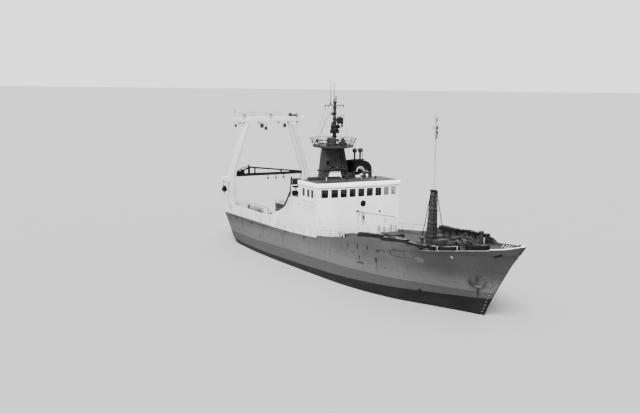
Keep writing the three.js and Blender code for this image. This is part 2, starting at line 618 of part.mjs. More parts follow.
function gantryLeg(side) {
  const { x, half, footY, knee, headY, beamZ } = GANTRY;
  const shape = [
    [BEAM_HALF - PLATE - GAP, DECK_AFT + GAP], [BEAM_HALF - PLATE - GAP, AFT_BULWARK_TOP + GAP],
    [footY + LEG_LOW, AFT_BULWARK_TOP + GAP],
    [footY + LEG_LOW, BRACKET.low], [BRACKET.out, BRACKET.low + 0.25], [BRACKET.out, BRACKET.high - 0.1],
    [footY + LEG_LOW, BRACKET.high], [footY + LEG_LOW, knee],
    [headY + LEG_HIGH, beamZ - GAP], [headY - LEG_HIGH, beamZ - GAP],
    [footY - LEG_LOW, knee - 0.1], [footY - LEG_LOW, DECK_AFT + GAP],
  ];
  const leg = prismX(shape, x - half, x + half);
  const lugs = [-0.2, 0.14].map((dx) => (
    box(x + dx, x + dx + 0.06, BLOCK.y - 0.12, BLOCK.y + 0.12, BLOCK.pinZ - 0.08, BRACKET.low + 0.4)
  ));
  const pin = shaftBar([x - 0.2, BLOCK.y, BLOCK.pinZ], [x + 0.2, BLOCK.y, BLOCK.pinZ], BLOCK.pin);
  return onSide(joined([leg, ...lugs, pin]), side);
}

function gantryBeam() {
  const { x, beamZ, beamTop } = GANTRY;
  const beam = box(x - 0.36, x + 0.36, -4.43, 4.43, beamZ, beamTop);
  const lugs = [-3.6, -1.2, 1.2, 3.6].map((y) => (
    box(x - 0.06, x + 0.06, y - 0.16, y + 0.16, beamZ - 0.28, beamZ + 0.01)
  ));
  return joined([beam, ...lugs]);
}

// The dark frame across the gantry's knees, deepest near its starboard end
function gantryTruss() {
  const { x, footY } = GANTRY;
  const end = footY - LEG_LOW - GAP;
  const { chordLow, chordHigh, apexY, apexZ, thick } = TRUSS;
  const chord = box(x - 0.14, x + 0.14, -end, end, chordLow, chordHigh);
  const rise = prismX([
    [-end + 0.1, chordHigh - 0.1], [apexY, apexZ - thick], [apexY, apexZ], [-end + 0.1, chordHigh + 0.08],
  ], x - 0.1, x + 0.1);
  const fall = prismX([
    [apexY, apexZ - thick], [end - 0.1, chordHigh - 0.1], [end - 0.1, chordHigh + 0.02], [apexY, apexZ],
  ], x - 0.1, x + 0.1);
  const posts = [apexY, apexY + 0.7].map((y) => (
    box(x - 0.08, x + 0.08, y - 0.07, y + 0.07, chordLow, apexZ - 0.05)
  ));
  return joined([chord, rise, fall, ...posts]);
}

function hangingBlock(side) {
  const { x } = GANTRY;
  const { y, pinZ, r, thick, pin } = BLOCK;
  const centre = pinZ - 0.5;
  const cheeks = bar([x - thick / 2, y, centre], [x + thick / 2, y, centre], r, r, 20);
  const neck = box(x - 0.05, x + 0.05, y - 0.1, y + 0.1, centre, pinZ);
  const eye = bar([x - 0.05, y, pinZ], [x + 0.05, y, pinZ], 0.1);
  const bore = bearing([x - 1, y, pinZ], [x + 1, y, pinZ], pin);
  return onSide(joined([cheeks, neck, eye]).subtract(bore), side);
}

// Foremast

function foremastBox() {
  const { x0, x1, topX0, topX1, footHalf, topHalf, top } = FOREMAST;
  const ring = (z, a, b, half) => [[a, -half, z], [b, -half, z], [b, half, z], [a, half, z]];
  const tower = loft([ring(4.2, x0, x1, footHalf), ring(top, topX0, topX1, topHalf)]);
  const arm = bar([FOREMAST.topX1 - 0.25, 0, 9.2], [FOREMAST.topX1 + 0.35, 0, 9.35], 0.06, 0.06, 8);
  return standing(joined([tower, arm]));
}

function lightPole() {
  const { x, r, top } = LIGHT_POLE;
  const pole = bar([x, 0, FOREMAST.top + GAP], [x, 0, top], r, r * 0.7, 12);
  const arms = [13.9, 14.7, 15.4].map((z, place) => {
    const out = place === 1 ? -0.35 : 0.35;
    return joined([
      box(x + Math.min(0, out), x + Math.max(0, out), -0.03, 0.03, z - 0.03, z + 0.03),
      bar([x + out, 0, z - 0.02], [x + out, 0, z + 0.26], 0.1),
    ]);
  });
  return joined([pole, ...arms]);
}

// Windlass

function windlassFrame() {
  const { x, axisZ, shaft } = WINDLASS;
  const base = box(x - 0.55, x + 0.55, -0.85, 0.85, 4.6, 5.06);
  const cheeks = [-0.78, 0.62].map((y) => box(x - 0.28, x + 0.28, y, y + 0.16, 5.0, axisZ + 0.2));
  const gearbox = box(x - 0.5, x - 0.34, -0.3, 0.3, 5.0, 5.45);
  const bore = bearing([x, -2, axisZ], [x, 2, axisZ], shaft);
  return standing(joined([base, ...cheeks, gearbox]).subtract(bore));
}

function windlassDrum() {
  const { x, axisZ, shaft, half } = WINDLASS;
  const ringAt = (y0, y1, r) => bar([x, y0, axisZ], [x, y1, axisZ], r);
  const parts = [shaftBar([x, -half, axisZ], [x, half, axisZ], shaft)];
  for (const side of [STARBOARD, PORT]) {
    parts.push(ringAt(side * 0.84, side * 0.9, 0.3));
    parts.push(ringAt(side * 0.84, side * 1.18, 0.19));
    parts.push(ringAt(side * 1.16, side * half, 0.28));
    parts.push(ringAt(side * 0.18, side * 0.5, 0.3));
  }
  return joined(parts);
}

// Trawl winch on the working deck

function winchFrame() {
  const { x, axisZ, shaft } = WINCH;
  const bed = box(x - 0.9, x + 0.9, -2.3, 2.3, DECK_AFT - 0.2, DECK_AFT + 0.2);
  const stands = [-2.2, -0.1, 2.0].map((y) => prismY([
    [x - 0.55, DECK_AFT + 0.1], [x + 0.55, DECK_AFT + 0.1], [x + 0.22, axisZ + 0.26], [x - 0.22, axisZ + 0.26],
  ], y, y + 0.2));
  const bore = bearing([x, -3, axisZ], [x, 3, axisZ], shaft);
  return standing(joined([bed, ...stands]).subtract(bore));
}

function winchDrum(side) {
  const { x, axisZ, shaft, flange, core } = WINCH;
  const ringAt = (y0, y1, r) => bar([x, y0, axisZ], [x, y1, axisZ], r, r, 20);
  const drum = joined([
    shaftBar([x, 0.02, axisZ], [x, 2.75, axisZ], shaft),
    ringAt(0.16, 0.24, flange), ringAt(0.2, 1.8, core), ringAt(1.78, 1.86, flange),
    ringAt(2.3, 2.36, 0.3), ringAt(2.3, 2.66, 0.2), ringAt(2.64, 2.72, 0.28),
  ]);
  return onSide(drum, side);
}

// Hatches, each hinged at its forward edge on a pin held by the coaming

function hatchAxis({ x, half, rise }) {
  return { x: x + half + 0.09, z: deckZ(x) + rise + 0.07 };
}

function hatchCoaming(hatch) {
  const { x, half, rise } = hatch;
  const top = deckZ(x) + rise;
  const outer = box(x - half, x + half, -half, half, deckZ(x) - 0.5, top);
  const well = box(x - half + 0.1, x + half - 0.1, -half + 0.1, half - 0.1, deckZ(x) - 1, top + 1);
  const axis = hatchAxis(hatch);
  const lugs = [-half + 0.05, half - 0.11].map((y) => joined([
    box(x + half - 0.02, axis.x + 0.03, y, y + 0.06, top - 0.2, top),
    box(axis.x - 0.045, axis.x + 0.03, y, y + 0.06, top - 0.1, axis.z + 0.035),
  ]));
  const pin = shaftBar([axis.x, -half + 0.06, axis.z], [axis.x, half - 0.06, axis.z], HATCH_PIN);
  return joined([standing(outer).subtract(well), ...lugs, pin]);
}

function hatchLid(hatch) {
  const { x, half, rise, lid } = hatch;
  const low = deckZ(x) + rise + 0.014;
  const axis = hatchAxis(hatch);
  const plate = box(x - half - 0.03, x + half + 0.03, -half - 0.03, half + 0.03, low, low + lid);
  const tongue = box(x + half, axis.x, -0.3, 0.3, axis.z - 0.03, axis.z + 0.03);
  const eye = bar([axis.x, -0.3, axis.z], [axis.x, 0.3, axis.z], 0.045);
  const bore = bearing([axis.x, -2, axis.z], [axis.x, 2, axis.z], HATCH_PIN);
  return joined([plate, tongue, eye]).subtract(bore);
}

// Deck fittings

function twinBollard(x, y) {
  const z = deckZ(x);
  const base = box(x - 0.42, x + 0.42, y - 0.2, y + 0.2, z - 0.3, z + 0.08);
  const posts = [-0.24, 0.24].map((dx) => joined([
    bar([x + dx, y, z], [x + dx, y, z + 0.5], 0.12, 0.12, 12),
    bar([x + dx, y, z + 0.44], [x + dx, y, z + 0.52], 0.16, 0.16, 12),
  ]));
  return standing(joined([base, ...posts]));
}

// A stockless anchor drawn up flat against the flare of the bow
function anchor(side) {
  const { x, y, z, turn, flare, proud } = ANCHOR;
  const half = [
    [0, -0.2], [0.3, -0.16], [0.66, 0.12], [0.78, 0.62], [0.5, 0.5], [0.38, 0.2], [0.09, 0.1], [0.09, 0.9],
  ];
  const shape = [...half, ...half.slice(1).reverse().map(([along, up]) => [-along, up])];
  const crown = bar([-0.36, proud - 0.06, -0.06], [0.36, proud - 0.06, -0.06], 0.13, 0.13, 10);
  const flat = joined([prismY(shape, -0.5, proud), crown]).rotate([-flare, 0, 0]).rotate([0, 0, -turn]);
  return againstSide(onSide(shifted(flat, x, y, z), side), side);
}

// A raft canister lying on its cradle
function raft() {
  const [x, y, z] = [-6.25, -3.6, BRIDGE_FLOOR + 0.48];
  const can = bar([x - 0.62, y, z], [x + 0.62, y, z], 0.33, 0.33, 16);
  const cradle = [-0.38, 0.3].map((dx) => (
    box(x + dx, x + dx + 0.08, y - 0.34, y + 0.34, BRIDGE_FLOOR + GAP, z - 0.1)
  ));
  return joined([can, ...cradle]);
}

// A locker on four posts between the legs of the mast
function mastLocker() {
  const { x0, x1, low, top, half, topHalf, post } = MAST_LOCKER;
  const body = prismX([[-half, low], [half, low], [topHalf, top], [-topHalf, top]], x0, x1);
  const posts = [x0 + 0.08, x1 - 0.08].flatMap((x) => [-0.51, 0.51].map((y) => (
    bar([x, y, BRIDGE_FLOOR + GAP], [x, y, low + 0.02], post, post, 8)
  )));
  return joined([body, ...posts]);
}

// Propeller and rudder

function propeller() {
  const { x, z, r, hub, shaft } = PROPELLER;
  const parts = [
    bar([x + 0.3, 0, 0], [x - 0.28, 0, 0], hub, hub * 0.8),
    bar([x - 0.28, 0, 0], [x - 0.5, 0, 0], hub * 0.8, 0.06),
    shaftBar([x + 0.2, 0, 0], [x + 0.85, 0, 0], shaft),
  ];
  const blade = [];
  for (let step = 0; step <= 12; step += 1) {
    const angle = (step / 12) * 2 * Math.PI;
    blade.push([0.36 * Math.sin(angle), 0.15 + (r - 0.15) / 2 + ((r - 0.15) / 2) * Math.cos(angle)]);
  }
  const plate = prismX(blade.slice(0, 12), -0.035, 0.035);
  for (let place = 0; place < 4; place += 1) {
    parts.push(plate.rotate([0, 0, 35]).translate([x, 0, 0]).rotate([place * 90, 0, 0]));
  }
  return shifted(joined(parts), 0, 0, z);
}

function rudder() {
  const { x, fore, aft, top, bottom, half, stock, pintle } = RUDDER;
  const section = [
    [x + fore, 0], [x + fore * 0.75, half * 0.7], [x, half], [x - aft * 0.5, half * 0.75], [x - aft, 0.03],
    [x - aft, -0.03], [x - aft * 0.5, -half * 0.75], [x, -half], [x + fore * 0.75, -half * 0.7],
  ];
  return joined([
    prismZ(section, bottom, top),
    shaftBar([x, 0, top - 0.5], [x, 0, 0.55], stock),
    shaftBar([x, 0, bottom + 0.3], [x, 0, -4.32], pintle),
  ]);
}

// The ship

const ship = new THREE.Group();
ship.scale.setScalar(MM_PER_METRE);

function place(name, body, finish) {
  const mesh = new THREE.Mesh(geometryOf(body), new THREE.MeshStandardMaterial(finish));
  mesh.name = name;
  ship.add(mesh);
}

place('hull', hullBody, HULL_GREY);
place('house_front_wall', frontWall(), WHITE);
place('house_aft_wall', houseAftWall(), WHITE);
place('house_door', doorLeaf(HOUSE.aft, HOUSE_DOOR), WHITE);
place('bridge_deck', bridgeDeck(), DECK_GREY);
place('wheelhouse_aft_wall', wheelhouseAftWall(), WHITE);
place('wheelhouse_door', doorLeaf(WHEELHOUSE.aft, WHEELHOUSE_DOOR), WHITE);
place('wheelhouse_roof', wheelhouseRoof(), WHITE);
place('mast_platform', mastPlatform(), DARK);
place('mast_web', mastWeb(), DARK);
place('mast_bar', mastBar(), DARK);
place('mast_pole', mastPole(), DARK);
place('mast_drum_housing', platformDrum(), DARK);
place('radar_upper_scanner', scanner(RADAR_UPPER.x, 0, RADAR_UPPER.z + 0.32, RADAR_UPPER.length), DARK);
place('radar_lower_pedestal', radarPedestal(), DARK);
place('radar_lower_scanner', scanner(RADAR_LOWER.x, RADAR_LOWER.y, RADAR_LOWER.z, RADAR_LOWER.length), DARK);
place('funnel_casing', funnelCasing(), DARK);
place('exhaust_inner', exhaust(EXHAUST.ys[0]), DARK);
place('exhaust_outer', exhaust(EXHAUST.ys[1]), DARK);
place('mast_locker', mastLocker(), WHITE);
place('raft_canister', raft(), WHITE);
place('gantry_beam', gantryBeam(), WHITE);
place('gantry_truss', gantryTruss(), DARK);
place('foremast', foremastBox(), RUSTY);
place('foremast_light_pole', lightPole(), PALE_GREY);
place('windlass_frame', windlassFrame(), DARK);
place('windlass_drum', windlassDrum(), STEEL);
place('winch_frame', winchFrame(), DARK);
place('fore_hatch_coaming', hatchCoaming(FORE_HATCH), DECK_GREY);
place('fore_hatch_lid', hatchLid(FORE_HATCH), DECK_GREY);
place('fish_hatch_coaming', hatchCoaming(FISH_HATCH), DECK_GREY);
place('fish_hatch_lid', hatchLid(FISH_HATCH), DECK_GREY);
place('propeller', propeller(), BRONZE);
place('rudder', rudder(), DARK);

for (const [side, word] of [[PORT, 'port'], [STARBOARD, 'starboard']]) {
  place(`fore_bulwark_${word}`, foreBulwark(side), HULL_GREY);
  place(`aft_bulwark_${word}`, aftBulwark(side), WHITE);
  place(`house_side_wall_${word}`, sideWall(side), WHITE);
  place(`mast_leg_${word}`, mastLeg(side), DARK);
  place(`gantry_leg_${word}`, gantryLeg(side), WHITE);
  place(`gantry_block_${word}`, hangingBlock(side), DARK);
  place(`winch_drum_${word}`, winchDrum(side), STEEL);
  place(`fore_bollard_${word}`, twinBollard(FORE_BOLLARD_X, side * 2.7), DARK);
  place(`aft_bollard_${word}`, twinBollard(AFT_BOLLARD_X, side * 3.9), DARK);
  place(`anchor_${word}`, anchor(side), STEEL);
}

export default ship;
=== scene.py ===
import math

import bmesh
import bpy
from mathutils import Matrix, Vector
from mathutils.bvhtree import BVHTree


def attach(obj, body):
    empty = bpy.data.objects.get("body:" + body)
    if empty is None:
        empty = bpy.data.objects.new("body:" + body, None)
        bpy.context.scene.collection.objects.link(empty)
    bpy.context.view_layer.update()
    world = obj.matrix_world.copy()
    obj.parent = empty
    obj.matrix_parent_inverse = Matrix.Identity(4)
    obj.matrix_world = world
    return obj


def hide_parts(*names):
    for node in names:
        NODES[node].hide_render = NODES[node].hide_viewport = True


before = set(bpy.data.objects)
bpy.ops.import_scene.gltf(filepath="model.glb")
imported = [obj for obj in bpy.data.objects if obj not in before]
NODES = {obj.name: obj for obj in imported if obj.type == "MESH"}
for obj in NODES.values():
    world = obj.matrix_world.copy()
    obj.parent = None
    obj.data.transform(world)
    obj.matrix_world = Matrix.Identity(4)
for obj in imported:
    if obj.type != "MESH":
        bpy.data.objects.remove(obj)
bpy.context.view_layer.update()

# Ship metres to model metres; all places below but the camera's are the full-size ship's
SCALE = 0.5
PORT, STARBOARD = 1, -1
SIDES = ((PORT, "port"), (STARBOARD, "starboard"))

# Camera, in model metres, from the photograph's horizon and the ship's own edges
CAMERA_PLACE = (41.86, -25.855, 10.105)
CAMERA_HEADING = (-0.8740, 0.4859)
CAMERA_PITCH = 0.138
CAMERA_ROLL = 0.0118
CAMERA_LENS = 58.03

# House
FRONT_X = -1.1
HOUSE_BEND = 2.55
HOUSE_SWEEP = 0.2
SIDE_Y = 4.7
FRONT_WINDOW = {"count": 9, "pitch": 0.975, "width": 0.74, "sill": 7.44, "head": 8.26}
SIDE_WINDOW = {"xs": (-2.4, -3.2, -4.15), "width": 0.56, "sill": 7.38, "head": 8.18}
AFT_WINDOW = {"ys": (-0.9, 0.9, 3.0), "width": 0.6, "sill": 7.55, "head": 8.16}
DARK_PANES = 7
WHEELHOUSE_AFT = -5.2
HOUSE_AFT = -7.2
PORTHOLE = (0.23, 6.77, 0.23)
BRIDGE_DECK = 7.1
ROOF_TOP = 8.9

# Masts, funnel, gantry and trawl deck
MAST_X = -6.45
PLATFORM_X = -6.72
PLATFORM_Z = 12.0
PLATFORM_R = 2.05
GANTRY_X = -21.4
BEAM_TOP = 14.17
BEAM_LOW = 13.63
FUNNEL_X = -5.6
TRAWL_DECK = 3.44


# Modelling

def pick(*pieces):
    """Selects these pieces alone and makes the first the active one."""
    bpy.ops.object.select_all(action="DESELECT")
    for piece in pieces:
        piece.select_set(True)
    bpy.context.view_layer.objects.active = pieces[0]


def edit(piece):
    pick(piece)
    bpy.ops.object.mode_set(mode="EDIT")
    bpy.ops.mesh.select_all(action="SELECT")


def done():
    bpy.ops.object.mode_set(mode="OBJECT")
    return bpy.context.object


def choose(piece, kind, test):
    """While editing, selects only the faces or edges that pass the test."""
    bpy.ops.mesh.select_mode(type="FACE" if kind == "faces" else "EDGE")
    bpy.ops.mesh.select_all(action="DESELECT")
    mesh = bmesh.from_edit_mesh(piece.data)
    for element in getattr(mesh, kind):
        if test(element):
            element.select_set(True)
    bmesh.update_edit_mesh(piece.data)


def apply_modifier(piece, kind, **settings):
    pick(piece)
    modifier = piece.modifiers.new(kind.lower(), kind)
    for key, value in settings.items():
        setattr(modifier, key, value)
    bpy.ops.object.modifier_apply(modifier=modifier.name)
    return piece


def eased(piece, width, angle=1.0, segments=2):
    """Rounds the edges at which a piece turns by more than the angle."""
    return apply_modifier(piece, "BEVEL", width=width, segments=segments,
                          limit_method="ANGLE", angle_limit=angle)


def block(low, high, ease=0.02):
    """A block between two corners, with its edges eased."""
    low, high = Vector(low), Vector(high)
    bpy.ops.object.select_all(action="DESELECT")
    bpy.ops.mesh.primitive_cube_add(size=1, location=(low + high) / 2)
    piece = bpy.context.object
    piece.scale = high - low
    bpy.ops.object.transform_apply()
    if ease:
        edit(piece)
        bpy.ops.mesh.bevel(offset=ease, segments=2)
        done()
    return piece


def rod(start, end, radius, tip=None, sides=12, ease=0.0):
    """A round bar between two points, thinner towards its tip."""
    start, end = Vector(start), Vector(end)
    span = end - start
    bpy.ops.object.select_all(action="DESELECT")
    bpy.ops.mesh.primitive_cone_add(
        vertices=sides, radius1=radius, radius2=radius if tip is None else tip, depth=span.length,
        location=(start + end) / 2, rotation=span.to_track_quat("Z", "Y").to_euler())
    piece = bpy.context.object
    bpy.ops.object.transform_apply()
    return eased(piece, ease) if ease else piece


def post(x, y, low, high, radius, tip=None, sides=8, ease=0.0):
    """An upright round bar from one height to another."""
    return rod((x, y, low), (x, y, high), radius, tip, sides, ease)


def path(points, smooth=False, closed=False):
    """A bare curve through the points."""
    bpy.ops.object.select_all(action="DESELECT")
    bpy.ops.curve.primitive_nurbs_path_add(location=(0, 0, 0))
    piece = bpy.context.object
    piece.data.splines.clear()
    spline = piece.data.splines.new("NURBS" if smooth else "POLY")
    spline.points.add(len(points) - 1)
    for point, place in zip(spline.points, points):
        point.co = (*place, 1)
    spline.use_cyclic_u = closed
    if smooth:
        spline.use_endpoint_u = True
        spline.order_u = 3
        spline.resolution_u = 6
    return piece


def to_mesh(piece):
    pick(piece)
    bpy.ops.object.convert(target="MESH")
    return bpy.context.object


def sewn():
    """Joins points that coincide, turns the faces outward and leaves editing."""
    bpy.ops.mesh.remove_doubles(threshold=0.0005)
    bpy.ops.mesh.normals_make_consistent(inside=False)
    return done()


def tube(points, radius, smooth=False, closed=False, rings=1):
    """A bar, pipe or wire that follows the points."""
    piece = path(points, smooth, closed)
    piece.data.dimensions = "3D"
    piece.data.bevel_depth = radius
    piece.data.bevel_resolution = rings
    piece.data.use_fill_caps = not closed
    return to_mesh(piece)


def plate(outline, thickness, turn=Matrix(), ease=0.0):
    """A flat plate cut to an outline in its own X and Y, then turned into place."""
    piece = path([(u, v, 0) for u, v in outline], closed=True)
    piece.data.dimensions = "2D"
    piece.data.fill_mode = "BOTH"
    piece.data.extrude = thickness / 2
    edit(to_mesh(piece))
    piece = sewn()
    piece.data.transform(turn)
    return eased(piece, ease) if ease else piece


# The planes that a plate's outline is drawn in: first axis, second axis, then its place
def upright(x):
    return Matrix(((0, 0, 1, x), (1, 0, 0, 0), (0, 1, 0, 0), (0, 0, 0, 1)))


def fore_and_aft(y):
    return Matrix(((1, 0, 0, 0), (0, 0, -1, y), (0, 1, 0, 0), (0, 0, 0, 1)))


def turned(profile, place, axis=(0, 0, 1), sides=20):
    """A round piece: a profile of radius and height spun about an axis."""
    edit(to_mesh(path([(radius, 0, height) for radius, height in profile])))
    bpy.ops.mesh.spin(steps=sides, angle=2 * math.pi, center=(0, 0, 0), axis=(0, 0, 1))
    bpy.ops.mesh.select_all(action="SELECT")
    piece = sewn()
    turn = Vector(axis).to_track_quat("Z", "Y").to_matrix().to_4x4()
    piece.data.transform(Matrix.Translation(place) @ turn)
    return piece


def copies(piece, moves):
    """Copies of a piece, each moved and with its own mesh."""
    made = []
    for move in moves:
        twin = piece.copy()
        twin.data = piece.data.copy()
        bpy.context.scene.collection.objects.link(twin)
        twin.data.transform(move)
        made.append(twin)
    return made


def spread(piece, moves):
    """Copies of a piece at each move, in place of the first."""
    made = copies(piece, moves)
    bpy.data.objects.remove(piece)
    return made


def shift(x=0.0, y=0.0, z=0.0):
    return Matrix.Translation((x, y, z))


def about_z(place, turn):
    return Matrix.Translation(place) @ Matrix.Rotation(turn, 4, "Z")


def merged(pieces):
    pick(*pieces)
    if len(pieces) > 1:
        bpy.ops.object.join()
    return bpy.context.object


def settle(pieces, name, coat, body="ship", slot=None, smooth=35):
    """Names a finished piece, halves it to the model's size and hands it to its body."""
    piece = merged(pieces) if isinstance(pieces, list) else pieces
    pick(piece)
    piece.name = name
    piece.data.name = name
    piece.data.transform(Matrix.Scale(SCALE, 4) @ piece.matrix_world)
    piece.matrix_world = Matrix.Identity(4)
    bpy.ops.object.shade_smooth_by_angle(angle=math.radians(smooth))
    piece.data.materials.clear()
    piece.data.materials.append(coat)
    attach(piece, body)
    slot = slot or SLOTS.get(coat.name)


def reworked(node, coat, ease=0.0, body="ship", smooth=30, slot=None):
    """A copy of a CAD piece with its faces merged and its edges eased, shown in its place."""
    piece = NODES[node].copy()
    piece.data = NODES[node].data.copy()
    for key in list(piece.keys()):
        del piece[key]
    piece.parent = None
    piece.matrix_world = Matrix.Identity(4)
    bpy.context.scene.collection.objects.link(piece)
    edit(piece)
    bpy.ops.mesh.remove_doubles(threshold=0.00002)
    bpy.ops.mesh.tris_convert_to_quads()
    bpy.ops.mesh.dissolve_limited(angle_limit=math.radians(0.6))
    done()
    if ease:
        eased(piece, ease * SCALE, math.radians(40), 3)
    piece.data.transform(Matrix.Scale(1 / SCALE, 4))
    settle(piece, node + "_form", coat, body, slot, smooth)
    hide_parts(node)


# Places on the CAD

PROBES = {}


def probe(node):
    """A CAD piece's faces, kept ready to be met by a line."""
    if node not in PROBES:
        mesh = NODES[node].data
        places = [vertex.co / SCALE for vertex in mesh.vertices]
        PROBES[node] = BVHTree.FromPolygons(places, [tuple(face.vertices) for face in mesh.polygons])
    return PROBES[node]


def touch(nodes, start, way):
    """Where a line from start, in the direction way, meets the first of these CAD pieces that it can."""
    for node in nodes:
        place, normal, _, _ = probe(node).ray_cast(Vector(start), Vector(way))
        if place is not None:
            return place, normal
    raise ValueError(f"nothing of {nodes} at {start}")


def bulwark(side):
    return "fore_bulwark_port" if side == PORT else "fore_bulwark_starboard"


def skin(x, z, side):
    """The hull's plating at x and z, and the way that it faces."""
    return touch(("hull", bulwark(side)), (x, side * 9, z), (0, -side, 0))


def on_skin(piece, x, z, side):
    """Lays a piece on the plating, its X drawn fore and aft and its Z outward."""
    spot, normal = skin(x, z, side)
    along = (Vector((1, 0, 0)) - normal * normal.x).normalized()
    turn = Matrix((along, normal.cross(along), normal)).transposed().to_4x4()
    piece.data.transform(Matrix.Translation(spot) @ turn)
    return piece


def deck(x, y):
    return touch(("hull",), (x, y, 20), (0, 0, -1))[0].z


# Where the bulwark tops have their own corners; the other rows of points are at the bulwark's foot
RIM_CORNERS = (-1.49, 3.6, 5.2, 9.1, 11.2, 13.4, 14.2, 15.0, 17.15, 19.4, 20.8, 22.0, 23.06)


def rim(side):
    """The top of a fore bulwark as rows of x, outer half-breadth, inner half-breadth and height."""
    rows = {}
    for vertex in NODES[bulwark(side)].data.vertices:
        place = vertex.co / SCALE
        rows.setdefault(round(place.x, 3), []).append(place)
    tops = []
    for x, places in rows.items():
        high = max(place.z for place in places)
        level_ones = [abs(place.y) for place in places if place.z > high - 0.02]
        if min(abs(x - corner) for corner in RIM_CORNERS) < 0.03:
            tops.append((x, max(level_ones), min(level_ones), high))
    return sorted(tops)


RIMS = {side: rim(side) for side, _ in SIDES}


def rim_at(side, x):
    rows = RIMS[side]
    for after, before in zip(rows, rows[1:]):
        if after[0] <= x <= before[0]:
            share = (x - after[0]) / (before[0] - after[0])
            return [a + share * (b - a) for a, b in zip(after, before)]
    return list(rows[0] if x < rows[0][0] else rows[-1])


# Coats

def sums(operation):
    """An operator between a tone and another tone or number."""
    return lambda tone, other: tone.math(operation, tone, other)


class Tone:
    """A number on a shader's wire, ready for sums."""

    def __init__(self, tree, wire):
        self.tree = tree
        self.wire = wire

    def math(self, operation, *values):
        node = self.tree.nodes.new("ShaderNodeMath")
        node.operation = operation
        for socket, value in zip(node.inputs, values):
            if isinstance(value, Tone):
                self.tree.links.new(value.wire, socket)
            else:
                socket.default_value = value
        return Tone(self.tree, node.outputs[0])

    def __rsub__(self, other):
        return self.math("SUBTRACT", other, self)

    def __abs__(self):
        return self.math("ABSOLUTE", self)

    __add__ = __radd__ = sums("ADD")
    __sub__ = sums("SUBTRACT")
    __mul__ = __rmul__ = sums("MULTIPLY")
    __truediv__ = sums("DIVIDE")
    __or__ = sums("MAXIMUM")


def grey(value, warmth=0.0):
    return (value * (1 + warmth), value, value * (1 - warmth), 1)


class Coat:
    """A paint or metal, its pattern laid out in ship metres."""

    def __init__(self, name, rough=0.5, metal=0.0, shine=0.2):
        self.material = bpy.data.materials.new(name)
        self.material.use_nodes = True
        self.tree = self.material.node_tree
        self.shader = self.tree.nodes["Principled BSDF"]
        self.shader.inputs["Roughness"].default_value = rough
        self.shader.inputs["Specular IOR Level"].default_value = shine
        self.shader.inputs["Metallic"].default_value = metal
        self.paint = None
        at = self.node("ShaderNodeTexCoord").outputs["Object"]
        self.at = self.node("ShaderNodeVectorMath", {"operation": "SCALE"},
                            {"Vector": at, "Scale": 1 / SCALE}).outputs["Vector"]
        self.x, self.y, self.z = self.axes(self.at)

    def node(self, kind, settings=None, values=None):
        """Any node: its settings first, then the values or links of its sockets."""
        node = self.tree.nodes.new(kind)
        for key, value in (settings or {}).items():
            setattr(node, key, value)
        for key, value in (values or {}).items():
            if isinstance(value, Tone):
                value = value.wire
            if isinstance(value, bpy.types.NodeSocket):
                self.tree.links.new(value, node.inputs[key])
            else:
                node.inputs[key].default_value = value
        return node

    def axes(self, vector):
        parts = self.node("ShaderNodeSeparateXYZ", {}, {"Vector": vector})
        return [Tone(self.tree, parts.outputs[axis]) for axis in "XYZ"]

    def facing(self):
        """The way a face looks: inboard, and how far up."""
        _, across, up = self.axes(self.node("ShaderNodeNewGeometry").outputs["Normal"])
        return self.ease(across * self.y.math("SIGN", self.y), -0.05, -0.3), up

    def cloud(self, size, detail=3.0, stretch=(1, 1, 1)):
        """Uneven patches of about this size in metres, drawn out where stretch is above 1."""
        spread_out = [1 / (size * factor) for factor in stretch]
        at = self.node("ShaderNodeVectorMath", {"operation": "MULTIPLY"}, {0: self.at, 1: spread_out})
        noise = self.node("ShaderNodeTexNoise", {}, {
            "Vector": at.outputs["Vector"], "Scale": 1.0, "Detail": detail, "Roughness": 0.55})
        return Tone(self.tree, noise.outputs[0])

    def ease(self, value, low, high):
        """0 below low, 1 above high, with a soft step between."""
        if low > high:
            return 1 - self.ease(value, high, low)
        node = self.node("ShaderNodeMapRange", {"interpolation_type": "SMOOTHSTEP"}, {
            "Value": value, "From Min": low, "From Max": high})
        return Tone(self.tree, node.outputs["Result"])

    def spots(self, size, detail, low, high, stretch=(1, 1, 1)):
        """Patches with soft edges, where a cloud is above low."""
        return self.ease(self.cloud(size, detail, stretch), low, high)

    def near(self, value, centre, half, soft):
        """1 within half of centre, falling to 0 over soft."""
        return self.ease(abs(value - centre), half + soft, half)

    def seams(self, value, pitch, width):
        """Thin lines across value, one each pitch."""
        place = value.math("FRACT", value / pitch)
        return self.ease(abs(place - 0.5), 0.5 - width / pitch, 0.5 - width / pitch * 0.3)

    def blend(self, first, second, mask):
        """One colour, or grey, turning into another where the mask is 1."""
        first, second = [grey(tone) if isinstance(tone, float) else tone for tone in (first, second)]
        return self.node("ShaderNodeMix", {"data_type": "RGBA"}, {0: mask, 6: first, 7: second}).outputs[2]

    def ground(self, first, second, mask):
        """The coat's first layer."""
        self.paint = self.blend(first, second, mask)

    def lay(self, tone, mask):
        """Lays a colour, or grey, over the coat where the mask is 1."""
        self.paint = self.blend(self.paint, tone, mask)

    def finish(self, rough=None, height=None, depth=0.01):
        self.tree.links.new(self.paint, self.shader.inputs["Base Color"])
        if rough is not None:
            self.tree.links.new(rough.wire, self.shader.inputs["Roughness"])
        if height is not None:
            bump = self.node("ShaderNodeBump", {}, {
                "Height": height, "Strength": 1.0, "Distance": depth * SCALE})
            self.tree.links.new(bump.outputs["Normal"], self.shader.inputs["Normal"])
        return self.material


